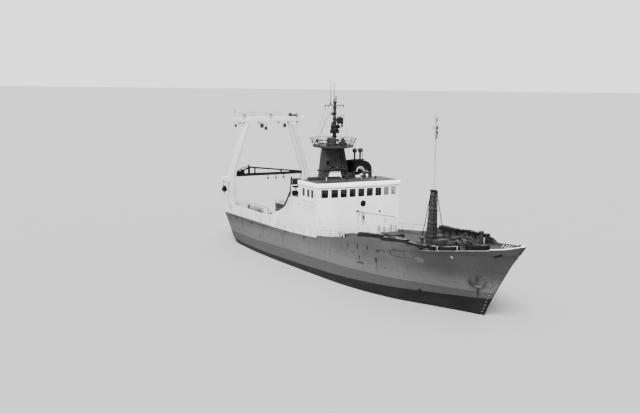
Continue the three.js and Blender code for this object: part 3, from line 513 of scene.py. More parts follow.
# Rust and dirt on the hull: x, top, bottom, half-width, strength
RUST_RUNS = [
    (4.32, 3.95, 3.2, 0.06, 0.8), (5.2, 3.7, 2.2, 0.05, 0.4), (5.95, 4.35, 2.9, 0.05, 0.9),
    (7.4, 4.45, 3.9, 0.07, 0.8), (8.55, 3.15, 1.5, 0.09, 0.8), (9.9, 4.3, 3.1, 0.06, 0.35),
    (12.35, 4.4, 1.9, 0.05, 0.45), (6.6, 2.6, 1.6, 0.08, 0.4), (14.9, 4.9, 4.1, 0.05, 0.3),
    (-3.0, 3.2, 1.0, 0.08, 0.6), (-8.5, 3.1, 0.9, 0.1, 0.7), (-13.2, 3.2, 0.8, 0.1, 0.6),
    (-18.4, 3.2, 1.2, 0.12, 0.7), (1.2, 3.5, 1.4, 0.07, 0.5),
]
# Dark marks on the hull: x, z, half-length, half-height
DARK_MARKS = [
    (6.2, 2.6, 0.55, 0.08), (5.0, 3.35, 0.3, 0.04), (11.75, 4.02, 0.85, 0.02),
    (11.75, 4.58, 0.85, 0.02), (12.55, 4.3, 0.03, 0.28),
]


def hull_rust(coat, runs, fine):
    """Runs, marks and speckles of rust, and the streak below the anchor."""
    x, z = coat.x, coat.z
    rust = None
    for at, top, low, half, strength in RUST_RUNS:
        run = coat.near(x + (runs - 0.5) * 0.12, at, half * 0.4, half)
        run = run * coat.ease(z, low, top) * coat.ease(z, top + 0.12, top) * strength
        rust = run if rust is None else rust | run
    for at, height, half, thick in DARK_MARKS:
        rust = rust | coat.near(x, at, half * 0.6, half * 0.5) * coat.near(
            z + (fine - 0.5) * 0.1, height, thick * 0.5, thick)
    rust = rust | coat.spots(0.5, 6, 0.62, 0.7, (1, 1, 1.6)) * coat.ease(z, 4.6, 3.2) * 0.5
    streak = coat.near(x - z * 0.3, 17.99, 0.06, 0.08) * coat.ease(z, 0.6, 2.2) * coat.ease(z, 2.75, 2.6)
    return rust | streak * 0.9


def hull_coat():
    coat = Coat("hull_coat", rough=0.62)
    x, z = coat.x, coat.z
    patches = coat.cloud(3.0, 4, (1, 1, 0.7))
    runs = coat.cloud(0.55, 4, (1, 1, 9))
    fine = coat.cloud(0.3, 5)
    scuffs = coat.cloud(0.9, 5, (2.5, 1, 0.5))
    coat.ground(0.052, 0.067, coat.ease(patches, 0.35, 0.65))
    coat.lay(0.04, coat.ease(runs, 0.52, 0.72) * 0.5)
    coat.lay(0.084, coat.ease(scuffs, 0.58, 0.72) * 0.5)
    # Paler low down, darker under the bow rail, with water runs at the stem
    coat.lay(0.098, coat.ease(z, 3.7, 2.3) * (0.5 + patches * 0.5))
    coat.lay(0.032, coat.ease(x, 12.0, 16.5) * coat.ease(z, 2.7, 4.0) * 0.75)
    coat.lay(0.028, coat.spots(0.14, 3, 0.48, 0.66, (1, 1, 16)) * coat.ease(x, 18.3, 19.6) * 0.6)
    # The dull belt along the sheer, and the seams
    sheer = 3.5 + x * 0.062
    coat.lay(0.046, coat.ease(z - sheer, -0.2, 0.5) * coat.ease(x, 11.5, 8.0) * 0.6)
    seams = coat.seams(z + 0.02 * x, 1.45, 0.02) | coat.seams(x, 5.6, 0.025)
    coat.lay(0.03, seams * 0.4)
    # The darker strip, the boot-top and the wet edge at the water
    strip_top = 1.72 + 0.02 * x
    boot_top = 0.70 + 0.030 * x + 0.0008 * x * x
    wobble = (fine - 0.5) * 0.06
    coat.lay(0.036, coat.ease(z - strip_top + wobble, 0.03, -0.03) * 0.75)
    dark = coat.blend(0.003, 0.007, coat.ease(scuffs, 0.4, 0.65))
    coat.lay(dark, coat.ease(z - boot_top + wobble, 0.02, -0.02))
    coat.lay(0.006, coat.ease(z + (fine - 0.5) * 0.2, 0.16, 0.05))
    rust = hull_rust(coat, runs, fine)
    coat.lay(grey(0.0108, 0.06), rust * 0.85)
    # A blank pale oval where a number would stand
    oval = coat.ease((x - 14.16) * (x - 14.16) * 4.0 + (z - 4.13) * (z - 4.13) * 13.7, 1.05, 0.85)
    coat.lay(coat.blend(0.07, 0.11, coat.ease(fine, 0.4, 0.6)), oval)
    # Inner faces, deck and slipway; forward of x 13.8 the inner faces are near black, a painted shade
    inboard, up = coat.facing()
    inner = coat.blend(0.075, 0.035, coat.spots(0.8, 4, 0.45, 0.65, (1, 1, 2)))
    # Painted shade: the inner faces turn near black forward of x 13.8
    inner = coat.blend(inner, 0.008, coat.ease(x, 13.0, 13.8))
    coat.lay(inner, inboard * coat.ease(z, 2.0, 2.4))
    planks = coat.blend(0.008, 0.015, coat.spots(1.4, 5, 0.4, 0.62))
    planks = coat.blend(planks, 0.026, coat.spots(0.25, 4, 0.64, 0.74) * 0.6)
    coat.lay(planks, coat.ease(up, 0.55, 0.8) * coat.ease(z, 0.2, 0.5))
    ramp = coat.ease(x, -17.4, -17.7) * coat.ease(abs(coat.y), 1.78, 1.72) * coat.ease(z, 0.0, 0.1)
    coat.lay(coat.blend(0.012, 0.036, coat.spots(0.5, 5, 0.4, 0.65, (4, 1, 1))), ramp)
    # Plating drawn in between its frames
    frames = x.math("SINE", x * (2 * math.pi / 0.62)) * 0.5 + 0.5
    drawn = frames * coat.spots(2.2, 2, 0.4, 0.7)
    height = drawn * 0.5 - seams * 0.6 + fine * 0.12 - rust * 0.1
    return coat.finish(0.55 + patches * 0.25, height, 0.028)


def white_coat(name, top, stained=True, painted_shade=None, turned_in=False):
    """White paint with runs, seams and dirt; where a shade is given, painted shade darkens faces that look
    up, or inboard faces if turned_in.
    """
    coat = Coat(name)
    patches = coat.cloud(1.6, 4)
    coat.ground(top * 0.93, top, coat.ease(patches, 0.35, 0.6))
    coat.lay(top * 0.72, coat.spots(0.5, 4, 0.56, 0.76, (1, 1, 12)) * 0.45)
    seams = coat.seams(coat.z, 1.62, 0.016) | coat.seams(coat.y + 0.31, 2.1, 0.014)
    coat.lay(top * 0.7, seams * 0.3)
    rust = coat.spots(0.45, 6, 0.66, 0.74, (1, 1, 2.5))
    if stained:
        low = coat.ease(coat.z, 4.9, 3.9)
        coat.lay(top * 0.45, coat.spots(0.7, 5, 0.42, 0.66, (1, 1, 2)) * low * 0.55)
        rust = rust | coat.spots(0.4, 6, 0.6, 0.7, (1, 1, 3)) * low
    coat.lay(grey(0.16, 0.1), rust * 0.5)
    # Painted shade: the shade grey laid on faces that look up, or on inboard faces
    if painted_shade:
        inboard, up = coat.facing()
        dark = coat.blend(painted_shade, painted_shade * 2, coat.ease(patches, 0.4, 0.65))
        coat.lay(dark, inboard if turned_in else coat.ease(up, 0.9, 0.97))
    height = coat.cloud(0.16, 4) * 0.25 + patches * 0.4 - seams * 0.8
    return coat.finish(0.42 + patches * 0.2, height, 0.012)


def dark_coat(name, low, high, worn=0.04, shine=0.18):
    """Sooty black paint, worn to grey on patches."""
    coat = Coat(name, shine=shine)
    patches = coat.cloud(0.9, 5, (1, 1, 1.8))
    coat.ground(low, high, coat.ease(patches, 0.38, 0.62))
    coat.lay(grey(worn, 0.04), coat.spots(0.35, 6, 0.6, 0.72) * 0.7)
    return coat.finish(0.4 + patches * 0.3, coat.cloud(0.1, 4) * 0.5 + patches, 0.008)


def rusty_coat():
    """The foremast: dark plates in courses, flaking."""
    coat = Coat("rusty_coat", rough=0.75)
    course = 0.62
    flakes = coat.cloud(0.35, 6, (1, 1, 0.7))
    courses = coat.seams(coat.z, course, 0.03)
    tiers = coat.ease(coat.z.math("SINE", coat.z * (math.pi / course)), -0.4, 0.4)
    coat.ground(grey(0.018, 0.03), grey(0.031, 0.03), tiers)
    coat.lay(grey(0.058, 0.04), coat.ease(flakes, 0.52, 0.68) * 0.8)
    coat.lay(0.009, coat.spots(0.3, 4, 0.55, 0.72, (1, 1, 8)) * 0.6)
    coat.lay(0.0072, courses * 0.8)
    return coat.finish(0.65 + flakes * 0.25, flakes * 0.6 - courses, 0.02)


def pale_coat(name, high):
    """Pale grey paint, flecked with rust."""
    coat = Coat(name)
    patches = coat.cloud(0.7, 5, (1, 1, 2))
    coat.ground(high * 0.7, high, coat.ease(patches, 0.35, 0.6))
    coat.lay(grey(0.1, 0.06), coat.spots(0.22, 6, 0.64, 0.74) * 0.7)
    return coat.finish(0.4 + patches * 0.3, coat.cloud(0.08, 4), 0.006)


def deck_coat():
    coat = Coat("deck_coat", rough=0.85)
    patches = coat.cloud(1.1, 5)
    coat.ground(0.0175, 0.03, coat.ease(patches, 0.38, 0.62))
    coat.lay(0.05, coat.spots(0.3, 5, 0.62, 0.72) * 0.6)
    return coat.finish(0.75 + patches * 0.2, coat.cloud(0.05, 3) + patches * 0.5, 0.008)


def steel_coat():
    """Bare steel in bright and dull patches, with spots of rust."""
    coat = Coat("steel_coat", metal=0.6)
    patches = coat.cloud(0.4, 6)
    coat.ground(grey(0.15), grey(0.075, 0.1), coat.ease(patches, 0.42, 0.6))
    coat.lay(grey(0.038, 0.15), coat.spots(0.18, 5, 0.58, 0.7) * 0.8)
    return coat.finish(0.35 + patches * 0.5, coat.cloud(0.06, 4) + patches, 0.008)


def bronze_coat():
    coat = Coat("bronze_coat", rough=0.4, metal=0.9)
    patches = coat.cloud(0.35, 5)
    coat.ground((0.33, 0.25, 0.12, 1), (0.2, 0.2, 0.14, 1), coat.ease(patches, 0.4, 0.65))
    return coat.finish(0.3 + patches * 0.3, coat.cloud(0.1, 4), 0.006)


def glass_coat(name, low, high):
    """Window glass over a dark room, with salt dried on it."""
    coat = Coat(name, rough=0.08)
    salt = coat.spots(0.35, 5, 0.45, 0.7, (1, 1, 1.5))
    coat.ground(low, high, salt)
    return coat.finish(0.05 + salt * 0.2)


def rope_coat(name, low, high):
    """Laid rope: strands wound round it, and fuzz."""
    coat = Coat(name, rough=0.95)
    strands = coat.seams(coat.x + coat.y + coat.z * 1.4, 0.07, 0.03)
    coat.ground(grey(high, 0.03), grey(low, 0.03), strands * 0.7)
    coat.lay(low * 0.7, coat.spots(0.6, 4, 0.5, 0.7) * 0.6)
    return coat.finish(None, coat.cloud(0.05, 5) - strands, 0.015)


def net_coat():
    """Heaped trawl net: dark twine, crossed both ways."""
    coat = Coat("net_coat", rough=0.95)
    twine = [coat.seams(line, 0.12, 0.03) for line in (coat.x + coat.y + coat.z, coat.x - coat.y - coat.z)]
    mesh = twine[0] | twine[1]
    coat.ground(0.008, 0.028, mesh * coat.spots(0.5, 5, 0.35, 0.6))
    return coat.finish(None, mesh + coat.cloud(0.08, 4), 0.03)


HULL = hull_coat()
WHITE = white_coat("white_coat", 0.64)
CLEAN_WHITE = white_coat("fitting_white_coat", 0.88, stained=False)
# The roof's top, facing up, gets painted shade
ROOF_WHITE = white_coat("roof_coat", 0.95, stained=False, painted_shade=0.012)
# The aft bulwarks' inner faces get painted shade
BULWARK_WHITE = white_coat("bulwark_coat", 0.6, painted_shade=0.008, turned_in=True)
GANTRY_WHITE = white_coat("gantry_coat", 0.52, stained=False)
DARK = dark_coat("dark_coat", 0.008, 0.018)
BLACK = dark_coat("black_coat", 0.003, 0.007, 0.018, 0.08)
MACHINE = dark_coat("machine_coat", 0.012, 0.028, 0.06)
RUSTY = rusty_coat()
PALE = pale_coat("pale_coat", 0.36)
DULL_PALE = pale_coat("dull_pale_coat", 0.2)
DECK = deck_coat()
STEEL = steel_coat()
BRONZE = bronze_coat()
ANCHOR_COAT = dark_coat("anchor_coat", 0.02, 0.05, 0.12)
DARK_GLASS = glass_coat("dark_glass", 0.003, 0.012)
LIGHT_GLASS = glass_coat("light_glass", 0.1, 0.32)
LAMP_GLASS = glass_coat("lamp_glass", 0.55, 0.75)
ROPE = rope_coat("rope_coat", 0.1, 0.27)
DARK_ROPE = rope_coat("dark_rope_coat", 0.012, 0.045)
NET = net_coat()

# The record's slot of each coat on the added pieces; glass, rope and net have none
SLOTS = {coat.name: slot for slot, coats in (
    ("hull_paint", [HULL]), ("rusty_paint", [RUSTY]), ("dark_paint", [DARK, BLACK, MACHINE]),
    ("white_paint", [WHITE, CLEAN_WHITE, ROOF_WHITE, GANTRY_WHITE]),
    ("pale_paint", [PALE, DULL_PALE]), ("worn_steel", [STEEL, ANCHOR_COAT])) for coat in coats}


# Stage

def make_camera():
    down, along = math.sin(CAMERA_PITCH), math.cos(CAMERA_PITCH)
    look = Vector((CAMERA_HEADING[0] * along, CAMERA_HEADING[1] * along, -down))
    data = bpy.data.cameras.new("camera")
    data.lens = CAMERA_LENS
    data.sensor_width = 36
    data.clip_end = 400
    camera = bpy.data.objects.new("camera", data)
    turn = look.to_track_quat("-Z", "Y").to_matrix().to_4x4()
    camera.matrix_world = (
        Matrix.Translation(CAMERA_PLACE) @ turn @ Matrix.Rotation(CAMERA_ROLL, 4, "Z"))
    bpy.context.scene.collection.objects.link(camera)
    bpy.context.scene.camera = camera


def make_stage():
    bpy.ops.object.select_all(action="DESELECT")
    bpy.ops.mesh.primitive_plane_add(size=900, location=(0, 0, 0))
    floor = bpy.context.object
    floor.name = "floor"
    material = bpy.data.materials.new("floor")
    material.use_nodes = True
    shader = material.node_tree.nodes["Principled BSDF"]
    shader.inputs["Base Color"].default_value = (0.3, 0.3, 0.3, 1)
    shader.inputs["Roughness"].default_value = 0.9
    floor.data.materials.append(material)


def make_lights():
    world = bpy.data.worlds.new("studio")
    world.use_nodes = True
    sky = world.node_tree.nodes["Background"]
    sky.inputs[0].default_value = (0.95, 0.95, 0.95, 1)
    sky.inputs[1].default_value = 2.1
    bpy.context.scene.world = world
    sun = bpy.data.lights.new("key", "SUN")
    sun.energy = 8.8
    sun.angle = 0.5
    key = bpy.data.objects.new("key", sun)
    key.rotation_euler = Vector((-0.55, 0.35, -0.75)).to_track_quat("-Z", "Y").to_euler()
    bpy.context.scene.collection.objects.link(key)


make_camera()
make_stage()
make_lights()


# Coats of the CAD pieces that are shown as they are, by the start of their names; the rest are dark

FINISHES = {
    HULL: ("fore_bulwark", "rudder"), BULWARK_WHITE: ("aft_bulwark",),
    WHITE: ("house_", "wheelhouse_aft_wall", "wheelhouse_door"),
    DECK: ("bridge_deck", "fore_hatch", "fish_hatch"), PALE: ("foremast_light_pole",),
    MACHINE: ("windlass_", "winch_frame", "fore_bollard", "aft_bollard"),
    STEEL: ("winch_drum",), BRONZE: ("propeller",), BLACK: ("gantry_truss",),
}

for name, node in NODES.items():
    node.data.materials.clear()
    coats = [coat for coat, starts in FINISHES.items() if name.startswith(starts)]
    node.data.materials.append(coats[0] if coats else DARK)

reworked("hull", HULL, smooth=32)
for node, coat, ease in (
        ("wheelhouse_roof", ROOF_WHITE, 0.1), ("gantry_leg_port", GANTRY_WHITE, 0.14),
        ("mast_leg_port", DARK, 0.06), ("gantry_leg_starboard", GANTRY_WHITE, 0.14),
        ("mast_leg_starboard", DARK, 0.06), ("gantry_beam", GANTRY_WHITE, 0.12),
        ("mast_platform", DARK, 0.03), ("mast_pole", DARK, 0.012), ("funnel_casing", BLACK, 0.06),
        ("foremast", RUSTY, 0.03), ("raft_canister", CLEAN_WHITE, 0.03), ("mast_locker", CLEAN_WHITE, 0.04)):
    reworked(node, coat, ease)


# Windows

def surround(width, height, margin=0.045, depth=0.1, stand=0.012):
    """A raised window frame that faces +X, its opening's corners rounded."""
    piece = block((-depth, -width / 2 - margin, -height / 2 - margin),
                  (stand, width / 2 + margin, height / 2 + margin), 0)
    edit(piece)
    choose(piece, "faces", lambda face: abs(face.normal.x) > 0.9)
    bpy.ops.mesh.inset(thickness=margin + 0.004, use_individual=True)
    bpy.ops.mesh.bridge_edge_loops()

    def lines_opening(edge):
        start, end = [vertex.co for vertex in edge.verts]
        return abs(start.x - end.x) > depth / 2 and abs(start.y) < width / 2

    choose(piece, "edges", lines_opening)
    bpy.ops.mesh.bevel(offset=0.07, segments=3)
    return eased(done(), 0.012, 0.9)


def pane(width, height, gap=0.008):
    return block((-0.02, gap - width / 2, gap - height / 2),
                 (0.004, width / 2 - gap, height / 2 - gap), 0.006)


def front_places():
    """The front windows' places and turns: the outer ones follow the swept wings."""
    for place in range(FRONT_WINDOW["count"]):
        y = (place - (FRONT_WINDOW["count"] - 1) / 2) * FRONT_WINDOW["pitch"]
        past = max(0.0, abs(y) - HOUSE_BEND)
        yield (FRONT_X - HOUSE_SWEEP * past, y), math.copysign(math.atan(HOUSE_SWEEP), y) if past else 0.0


def make_windows():
    rows = [("front_window", FRONT_WINDOW, list(front_places()))]
    for side, word in SIDES[::-1]:
        sides = [((x, side * SIDE_Y), side * math.pi / 2) for x in SIDE_WINDOW["xs"]]
        rows.append((word + "_window", SIDE_WINDOW, sides))
    rows.append(("aft_window", AFT_WINDOW, [((WHEELHOUSE_AFT, y), math.pi) for y in AFT_WINDOW["ys"]]))
    for name, row, places in rows:
        middle = (row["sill"] + row["head"]) / 2
        size = row["width"], row["head"] - row["sill"]
        moves = [about_z((*place, middle), turn) for place, turn in places]
        settle(spread(surround(*size), moves), name + "_surrounds", CLEAN_WHITE)
        settle(spread(pane(*size), moves[:DARK_PANES]), name + "_panes", DARK_GLASS)
        if moves[DARK_PANES:]:
            settle(spread(pane(*size), moves[DARK_PANES:]), name + "_pale_panes", LIGHT_GLASS)
    y, z, r = PORTHOLE
    ring = turned([(r - 0.02, -0.1), (r + 0.08, -0.1), (r + 0.08, 0.03), (r + 0.05, 0.05),
                   (r - 0.02, 0.04), (r - 0.02, -0.1)], (FRONT_X, y, z), (1, 0, 0), 28)
    settle(ring, "porthole_ring", BLACK)
    glass = turned([(0, -0.06), (r, -0.06), (r, -0.04), (r * 0.5, -0.025), (0, -0.02)],
                   (FRONT_X, y, z), (1, 0, 0), 28)
    settle(glass, "porthole_pane", DARK_GLASS)


make_windows()


# Bulwarks and bow

def along_rim(side, start, end, rise=0.0, step=0.45):
    """Points along the top of a fore bulwark, from x start to x end."""
    count = max(2, round(abs(end - start) / step))
    points = []
    for place in range(count + 1):
        x = start + (end - start) * place / count
        _, outer, inner, top = rim_at(side, x)
        points.append((x, side * (outer + inner) / 2, top + rise))
    return points


def make_cap_rails():
    for side, word in SIDES:
        line = along_rim(side, 20.9, 22.8, 0.03) + [(22.97, side * 0.1, 6.37), (23.01, 0, 6.38)]
        knob = [(0, -0.1), (0.07, -0.07), (0.1, 0), (0.07, 0.07), (0, 0.1)]
        settle([tube(line, 0.04, rings=3), turned(knob, (22.94, side * 0.05, 6.38))],
               f"bow_rail_{word}", CLEAN_WHITE)
        # A thin white bar on the plating, just under the bulwark's top
        edge = []
        for place in range(21):
            x = 15.0 + 0.295 * place
            spot, normal = skin(x, rim_at(side, x)[3] - 0.05, side)
            edge.append(spot + normal * 0.01)
        settle(tube(edge, 0.018, smooth=True, rings=2), f"middle_rail_{word}", PALE)
        settle(tube(along_rim(side, 3.9, 14.65, 0.02), 0.045, rings=2), f"waist_rail_{word}", MACHINE)


def stay_bracket(side, x):
    """A plate that props a bulwark from inside."""
    def inner_face(z):
        return abs(touch((bulwark(side),), (x, 0, z), (0, side, 0))[0].y) - 0.01

    _, _, inner, top = rim_at(side, x)
    floor = deck(x, side * (inner - 0.6))
    head, foot = inner_face(top - 0.05), inner_face(floor + 0.05)
    reach = min(0.22, (top - floor) * 0.5)
    shape = [(side * head, top - 0.05), (side * foot, floor + 0.01), (side * (foot - reach), floor + 0.01),
             (side * (foot - reach), floor + 0.06), (side * (head - 0.1), top - 0.05)]
    return plate(shape, 0.035, upright(x))


def make_stay_brackets():
    for side, word in SIDES:
        for name, coat, start, pitch, count in (("bow", PALE, 16.6, 0.7, 8), ("waist", HULL, 5.4, 1.02, 9)):
            brackets = [stay_bracket(side, start + pitch * place) for place in range(count)]
            settle(brackets, f"{name}_brackets_{word}", coat)


# Boards lashed along the bulwark tops: x aft, x fore, low aft, low fore, high aft, high fore
BOARDS = {
    STARBOARD: [(6.05, 9.9, 5.0, 5.4, 5.35, 5.68), (9.7, 13.1, 5.18, 5.5, 5.5, 5.7),
                (13.26, 15.4, 5.38, 5.34, 5.6, 5.56), (15.8, 16.5, 5.28, 5.34, 5.64, 5.62),
                (16.97, 18.25, 5.4, 5.56, 5.68, 5.85), (19.07, 20.6, 5.68, 5.9, 6.05, 6.25)],
    PORT: [(6.13, 9.74, 4.98, 5.33, 5.40, 5.51), (10.15, 13.72, 5.36, 5.54, 5.59, 5.72)],
}
BOARD_WIDTH = 0.5
# How far the middle of a board stands inboard of the bulwark's outer face
BOARD_INSET = {STARBOARD: 0.21, PORT: 0.3}


def board_middle(side, row, x):
    """A board is straight: its middle runs between the bulwark's places at its two ends."""
    aft, fore = row[:2]
    ends = [rim_at(side, end)[1] - BOARD_INSET[side] for end in (aft, fore)]
    return side * (ends[0] + (ends[1] - ends[0]) * (x - aft) / (fore - aft))


def long_board(side, row):
    """A trough of planks: two sides, a bottom and ends, open on top."""
    aft, fore, low_aft, low_fore, high_aft, high_fore = row
    half = BOARD_WIDTH / 2
    shape = [(aft, low_aft), (fore, low_fore), (fore, high_fore), (aft, high_aft)]
    made = [plate(shape, 0.05, fore_and_aft(way * (half - 0.03)), 0.01) for way in (-1, 1)]
    floor_shape = [(aft, low_aft), (fore, low_fore), (fore, low_fore + 0.06), (aft, low_aft + 0.06)]
    made.append(plate(floor_shape, BOARD_WIDTH - 0.06, fore_and_aft(0), 0.01))
    made += [block((x - 0.03, -half, low + 0.01), (x + 0.03, half, high - 0.01), 0.01)
             for x, low, high in ((aft + 0.05, low_aft, high_aft), (fore - 0.05, low_fore, high_fore))]
    whole = merged(made)
    for vertex in whole.data.vertices:
        vertex.co.y += board_middle(side, row, vertex.co.x)
    return whole


def rope_heap(side, row, seed):
    """Rope faked down along a trough in uneven bights."""
    aft, fore, _, _, high_aft, high_fore = row
    points = []
    count = max(8, round((fore - aft) / 0.07))
    for place in range(count):
        share = place / (count - 1)
        x = aft + 0.12 + (fore - aft - 0.24) * share
        height = high_aft + (high_fore - high_aft) * share
        swell = 0.5 + 0.5 * math.sin(3.1 * x + seed) * math.sin(1.3 * x + 2 * seed)
        across = 0.17 * math.sin(place * 2.2 + 0.6 * math.sin(place * 0.37 + seed))
        points.append((x + 0.1 * math.sin(place * 1.7), board_middle(side, row, x) + across,
                       height - 0.06 + 0.13 * swell * (0.6 + 0.4 * math.sin(place * 2.9))))
    return tube(points, 0.035, smooth=True)


def make_rope_boards():
    for side, word in SIDES:
        rows = list(enumerate(BOARDS[side]))
        settle([long_board(side, row) for _, row in rows], f"rope_boards_{word}", BLACK)
        settle([rope_heap(side, row, seed + 0.3) for seed, row in rows], f"rope_heaps_{word}", DARK_ROPE)
        settle([rope_heap(side, row, seed + 2.1) for seed, row in rows], f"pale_rope_{word}", ROPE)


def make_bow():
    top, wide = rim_at(PORT, 22.4)[3], rim_at(PORT, 21.9)[2]
    shape = [(21.9, -wide), (22.95, -0.04), (22.95, 0.04), (21.9, wide)]
    hook = plate(shape, 0.05, shift(z=top - 0.08), 0.01)
    roller = turned([(0, -0.2), (0.13, -0.2), (0.16, -0.16), (0.09, -0.06), (0.09, 0.06),
                     (0.16, 0.16), (0.13, 0.2), (0, 0.2)], (22.35, 0, top + 0.12), (0, 1, 0))
    cheeks = [block((22.2, y - 0.03, top - 0.06), (22.5, y + 0.03, top + 0.26)) for y in (-0.24, 0.24)]
    settle([hook, roller] + cheeks, "bow_roller", MACHINE)
    posts = []
    for start, rise in ((16.6, 0.22), (18.35, 0.25)):
        for side, _ in SIDES:
            x, y, z = along_rim(side, start, start + 0.5)[0]
            posts.append(post(x, y, z, z + rise, 0.03, 0.025, 10, 0.008))
            posts.append(turned([(0, 0), (0.045, 0.01), (0.045, 0.06), (0.03, 0.1), (0, 0.11)],
                                (x, y, z + rise - 0.02)))
    settle(posts, "rail_posts", PALE)


make_cap_rails()
make_stay_brackets()
make_rope_boards()
make_bow()


# Small fittings used in many places

def guard_rail(feet, height, pitch=1.2, levels=(1.0, 0.52), radius=0.035):
    """Stanchions and bars along a row of foot points."""
    made = [tube([(x, y, z + height * share) for x, y, z in feet], radius * 0.9) for share in levels]
    for start, end in zip(feet, feet[1:]):
        start, end = Vector(start), Vector(end)
        count = max(1, round((end - start).length / pitch))
        for place in range(count + 1):
            foot = start.lerp(end, place / count)
            made.append(rod(foot, foot + Vector((0, 0, height)), radius, radius * 0.9, 8))
            made.append(turned([(0, 0), (0.085, 0), (0.085, 0.02), (0.04, 0.05), (0, 0.05)], foot, sides=8))
    return made


def circle(centre, radius, count):
    """Points round a level circle."""
    angles = [2 * math.pi * place / count for place in range(count)]
    x, y, z = centre
    return [(x + radius * math.cos(angle), y + radius * math.sin(angle), z) for angle in angles]


def upright_oval(centre, wide, tall, count):
    """Points round an upright oval that faces along the ship."""
    angles = [2 * math.pi * place / count for place in range(count)]
    x, y, z = centre
    return [(x, y + wide * math.cos(angle), z + tall * math.sin(angle)) for angle in angles]


def floodlight(place, aim, size):
    """A round lamp on a bent bracket: the housing, then its glass."""
    place = Vector(place)
    shell = [(0, -1), (0.55, -0.92), (0.85, -0.35), (1, 0)]
    lip = [(1.1, 0.01), (1.1, 0.05), (0.92, 0.05), (0.9, 0.02), (0, 0.02)]
    housing = turned([(size * r, size * h) for r, h in shell] + [(size * r, h) for r, h in lip],
                     place, aim, 18)
    glass = turned([(0, 0.02), (size * 0.9, 0.022), (size * 0.75, 0.05), (0, 0.065)], place, aim, 18)
    side = Vector(aim).cross((0, 0, 1)).normalized() * size * 1.15
    low = place - Vector((0, 0, size * 1.5))
    bracket = tube([place + side, low + side * 0.8, low - side * 0.8, place - side], 0.018)
    foot = rod(low, low - Vector((0, 0, size * 1.2)), 0.03, None, 8)
    return [housing, bracket, foot], [glass]


def settle_lamps(lamps, name, glass_name, coat=None, glass_coat=None, extra=()):
    """Floodlights from rows of place, aim and size, with what else belongs to their housings."""
    made = [floodlight(*lamp) for lamp in lamps]
    settle([piece for metal, _ in made for piece in metal] + list(extra), name, coat or DARK)
    settle([piece for _, glass in made for piece in glass], glass_name, glass_coat or LAMP_GLASS)


def ladder(foot, top, across, width=0.4, pitch=0.3, radius=0.024):
    """Two stringers and the rungs between them."""
    foot, top = Vector(foot), Vector(top)
    half = Vector(across).normalized() * width / 2
    made = [rod(foot + way * half, top + way * half, radius, None, 8) for way in (-1, 1)]
    count = max(2, int((top - foot).length / pitch))
    step = (top - foot) / count
    rung = rod(foot - half, foot + half, radius * 0.8, None, 6)
    return made + spread(rung, [Matrix.Translation(step * (place + 0.5)) for place in range(count)])


def coil(centre, radius, rope=0.035, turns=6):
    """Rope laid down in rings, each a little off the last."""
    points = []
    x, y, z = centre
    for step in range(turns * 20):
        angle = 2 * math.pi * step / 20
        turn = step / 20
        out = radius * (1 - 0.07 * (turn % 3)) + 0.03 * math.sin(turn * 2.3)
        rise = rope * (0.9 * turn + 0.6 * math.sin(angle * 0.37))
        points.append((x + out * math.cos(angle), y + out * math.sin(angle), z + rise))
    return tube(points, rope, smooth=True)


def mound(low, high, seed, lumps=1.0):
    """A soft heap over a rectangle, lumpy on top and closed below."""
    x0, y0, z0 = low
    x1, y1, z1 = high
    bpy.ops.object.select_all(action="DESELECT")
    bpy.ops.mesh.primitive_grid_add(x_subdivisions=44, y_subdivisions=30, size=1,
                                    location=((x0 + x1) / 2, (y0 + y1) / 2, z0))
    piece = bpy.context.object
    piece.scale = (x1 - x0, y1 - y0, 1)
    bpy.ops.object.transform_apply()
    for vertex in piece.data.vertices:
        x, y, _ = vertex.co
        u = 2 * (x - x0) / (x1 - x0) - 1
        v = 2 * (y - y0) / (y1 - y0) - 1
        crown = max(0.0, 1 - abs(u) ** 3.2) * max(0.0, 1 - abs(v) ** 3.0)
        bump = (math.sin(2.7 * x + seed) * math.sin(3.9 * y + 2 * seed)
                + 0.6 * math.sin(6.3 * x - 1.7 * seed) * math.sin(5.1 * y + seed)
                + 0.35 * math.sin(13.0 * x + 3 * seed) * math.sin(11.0 * y - seed))
        vertex.co.z = z0 + (z1 - z0) * crown ** 0.6 * (0.72 + 0.14 * lumps * bump)
        vertex.co.x += 0.05 * math.sin(7 * y + seed) * crown
    return apply_modifier(piece, "SOLIDIFY", thickness=0.05, offset=-1)


def casing(low, high, bolts):
    """A machine casing: an eased block with a raised lid and a row of bolts down each side."""
    (x0, y0, _), (x1, y1, z1) = low, high
    lid = block((x0 + 0.05, y0 + 0.05, z1 - 0.01), (x1 - 0.05, y1 - 0.05, z1 + 0.03), 0.01)
    shares = [(place + 0.5) / bolts for place in range(bolts)]
    moves = [shift(x0 + 0.06 + (x1 - x0 - 0.12) * share, y)
             for share in shares for y in (y0 + 0.09, y1 - 0.09)]
    bolt = post(0, 0, z1 + 0.02, z1 + 0.055, 0.02, None, 6)
    return [block(low, high, 0.03), lid] + spread(bolt, moves)


def flanges(rows, x, y, axis=(0, 0, 1), sides=20):
    """Round pieces one above another: rows of height and profile."""
    return [turned(profile, (x, y, z), axis, sides) for z, profile in rows]


# Rails and the front of the house

def make_deck_rails():
    for side, word in SIDES:
        y = side * 4.64
        rails = [tube([(-1.6, y, 4.55), (-0.77, y, 4.55), (1.14, y, 4.74), (3.85, y, 5.02)], 0.04),
                 tube([(-0.77, y, 4.26), (1.14, y, 4.4)], 0.03)]
        for x, low, high in ((-0.77, 3.95, 4.55), (1.14, 4.02, 4.74), (3.6, 4.62, 5.0)):
            rails.append(post(x, y, low - 0.15, high, 0.045, 0.04, 10))
        settle(rails, f"house_front_rail_{word}", PALE)
    aft = guard_rail([(HOUSE_AFT + 0.1, y, BRIDGE_DECK) for y in (-4.5, 4.5)], 1.0)
    settle(aft, "bridge_deck_rail", CLEAN_WHITE)


